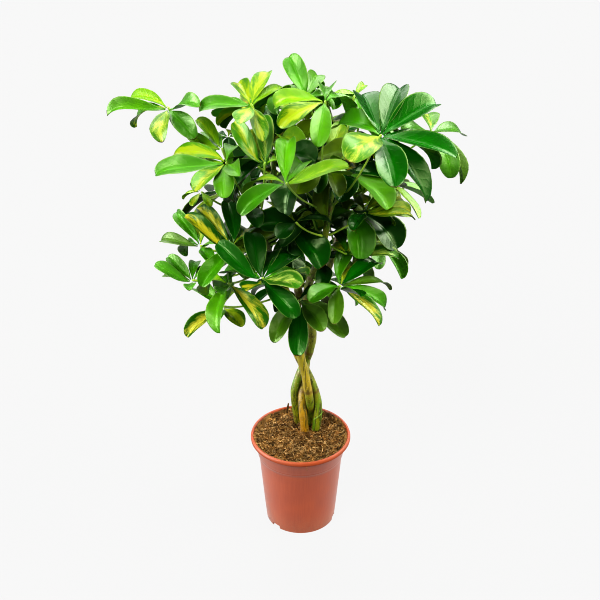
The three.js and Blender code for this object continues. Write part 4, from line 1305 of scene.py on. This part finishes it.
face_material, tree, surface = new_material("leaf face", Specular_IOR_Level=0.5,
                                            Specular_Tint=(0.8, 1.0, 0.55, 1))
skin = skin_inputs(tree)
# Painted highlight: the blade is lighter towards the midrib.
shade = mixed(times(mask(skin["across"], 0.75, 0.1), 0.4), skin["tone"], FACE["inner"], "SOFT_LIGHT")
shade = mixed(times(skin["clouds"], 0.5), shade, mixed(1.0, shade, FACE["mottle"], "MULTIPLY"))
shade = mixed(skin["fringe"], shade, mixed(0.45, skin["tone"], skin["splash"]))
shade = mixed(skin["core"], shade, skin["splash"])
shade = mixed(times(mask(skin["across"], 0.72, 0.98), skin["margin"]), shade, skin["splash"])
shade = mixed(times(skin["veins"], 0.2), shade, FACE["vein"], "SOFT_LIGHT")
shade = mixed(times(skin["midrib"], 0.6), shade, FACE["midrib"], "SOFT_LIGHT")
# Painted rim light: a thin pale edge round the blade.
shade = mixed(times(mask(skin["across"], 0.88, 0.98), 0.5), shade, FACE["rim"])
shade = mixed(skin["dried"], shade, DRIED_TIP)
quilt = times(noise(skin["place"], QUILT_SCALE, detail=0.0), 2.4)
height = plus(plus(skin["height"], times(skin["speckles"], 0.03)), quilt)
feed(surface, {"Base Color": shade, "Roughness": plus(skin["roughness"], times(skin["clouds"], 0.06)),
               "Normal": bumpy(height, 0.0006, 0.4)})
mix_translucent(tree, surface, shade, FACE_LIGHT)
print("material:", face_material.name)

# %% Leaf underside
UNDERSIDE = {"wax": "9db070", "cloud": "7c9060", "midrib": "b4c67c"}

under_material, tree, surface = new_material("leaf underside", Roughness=0.6)
skin = skin_inputs(tree)
shade = mixed(0.5, skin["tone"], UNDERSIDE["wax"])
shade = mixed(times(skin["core"], 0.7), shade, skin["splash"])
shade = mixed(times(skin["clouds"], 0.2), shade, UNDERSIDE["cloud"])
shade = mixed(times(skin["midrib"], 0.7), shade, UNDERSIDE["midrib"])
shade = mixed(skin["dried"], shade, DRIED_TIP)
feed(surface, {"Base Color": shade, "Normal": bumpy(times(skin["height"], -1.0), 0.0006, 0.6)})
mix_translucent(tree, surface, shade, UNDERSIDE_LIGHT)
print("material:", under_material.name)

# %% Leaf stalk
STALK_CLOUD = "7a9a34"

stalk_material, tree, surface = new_material("leaf stalk", Roughness=0.42)
place, tone = place_and_tone(tree)
clouds, speckles = clouds_and_speckles(place, 70.0, 1500.0)
feed(surface, {"Base Color": mixed(times(clouds, 0.35), tone, STALK_CLOUD),
               "Normal": bumpy(speckles, 0.0002, 0.4)})
print("material:", stalk_material.name)

# %% [markdown]
# ## Putting the leaves together
#
# A stalk is thick at the foot, slender along its length and thick again at the hub. It is the bent rod
# once more, on a line between the curve of its solid and the straight chord, because the real stalks are
# nearly straight. Blades are drawn wider than their solids where the crown has to close: behind, and most
# of all inside, where they are also longer. Stalk and leaflets could stay apart, but a leaf is one thing
# that grew, so they are joined, and a live Subdivision modifier of one level rounds the whole.

# %% Stalk lines and fullness
STALK_BANDS = 13
STALK_SIDES = 8
STALK_STATIONS = [0, 0.3, 0.68, 0.965]
STRAIGHTENED = 0.7
STALK_WIDTHS = np.array([[0.0, 0.0028], [0.05, 0.0025], [0.12, 0.0018], [0.5, 0.0016], [0.9, 0.0017],
                         [0.97, 0.0023], [1.0, 0.0026]])  # share of the length, radius
STALK_TONES = ["b0dc50", "a0cc40", "b4d44c", "a4c83c", "a0c44c"]
SEEN_FULLNESS = {"leaf_big_right": 1.14, "leaf_top_upright": 1.08, "leaf_right_upper": 0.9,
                 "leaf_right_dark": 0.84, "leaf_right_low": 0.84, "leaf_right_bottom": 0.84,
                 "leaf_bottom_front": 0.9, "leaf_left_outer": 0.88, "leaf_left_low": 0.9}
USUAL_FULLNESS = 0.97
INSIDE_FULLNESS = 1.7
INSIDE_STRETCH = 1.15


def stalk_line(middles, count):
    """Places along the stalk, and on to the hub."""
    curve = np.polyfit(STALK_STATIONS, np.array(middles[:3] + middles[-1:]), 3)
    spread = np.linspace(0, 1, count)
    line = np.stack([np.polyval(column, spread) for column in curve.T], axis=1)
    chord = line[0] + (line[-1] - line[0]) * spread[:, None]
    return line * (1 - STRAIGHTENED) + chord * STRAIGHTENED


def fullness_of(node, hub):
    """How much wider than its solid a leaf's blades are drawn."""
    if node in SEEN_LOOKS:
        return SEEN_FULLNESS.get(node, USUAL_FULLNESS)
    if node.startswith("leaf_inside"):
        return INSIDE_FULLNESS
    return 1.0 + 0.5 * smooth_step(abs(hub[0]), 0.12, 0.05) * smooth_step(hub[2], 0.40, 0.48)


print("fullness:", {node: round(float(fullness_of(node, leaf["hub"])), 2) for node, leaf in leaves.items()})

# %% Forms of the leaflets
FORM_SEED = 3


def draw_form(node, hub, draw):
    """The shape of one leaflet, drawn at random: swelling, width, fold, waves, curl and twist."""
    return {"belly": draw.uniform(0.92, 1.1), "width": draw.uniform(0.92, 1.1) * fullness_of(node, hub),
            "fold": draw.uniform(0.25, 0.75), "waves": draw.uniform(1.2, 2.4),
            "wave": draw.uniform(0.05, 0.19), "phase": draw.uniform(0, 6.3), "shift": draw.uniform(0, 1.5),
            "curl": draw.uniform(-0.3, 1.3), "twist": draw.normal(0, 0.3),
            "stretch": INSIDE_STRETCH if node.startswith("leaf_inside") else 1.0}


test_form = draw_form(leaf_nodes[0], leaves[leaf_nodes[0]]["hub"], np.random.default_rng(FORM_SEED))
print("one form:", {key: round(float(value), 2) for key, value in test_form.items()})

stalk_rod = make_rod(STALK_SIDES, STALK_BANDS)
draw = np.random.default_rng(FORM_SEED)
pieces = []
for node, leaf in leaves.items():
    hub, parts = leaf["hub"], []
    for number, leaflet in enumerate(leaf["leaflets"]):
        if leaflet["faces"][0] @ (hub - leaf["stalk"][-1]) < 0:
            leaflet["faces"] = -leaflet["faces"]
        blade = bent_leaflet(leaflet, draw_form(node, hub, draw))
        paint_leaflet(blade, pick_look(node, number, hub, draw), draw)
        blade.data.materials.append(face_material)
        blade.data.materials.append(under_material)
        parts.append(blade)
    line = stalk_line(leaf["stalk"], STALK_BANDS + 2)
    stalk = bent_rod(stalk_rod, line, np.interp(np.linspace(0, 1, len(line)), *STALK_WIDTHS.T))
    paint(stalk, "tone", colour(STALK_TONES[draw.integers(len(STALK_TONES))]))
    stalk.data.materials.append(stalk_material)
    name = node.replace("leaf", "foliage")
    piece = joined(parts + [stalk], name)
    rounding = piece.modifiers.new("rounding", "SUBSURF")
    rounding.levels = rounding.render_levels = 1
    finish_piece(piece, name, node)
    pieces.append(piece)
for original in (template, stalk_rod):
    bpy.data.objects.remove(original)
print("leaves:", len(pieces), "faces:", sum(len(piece.data.polygons) for piece in pieces))
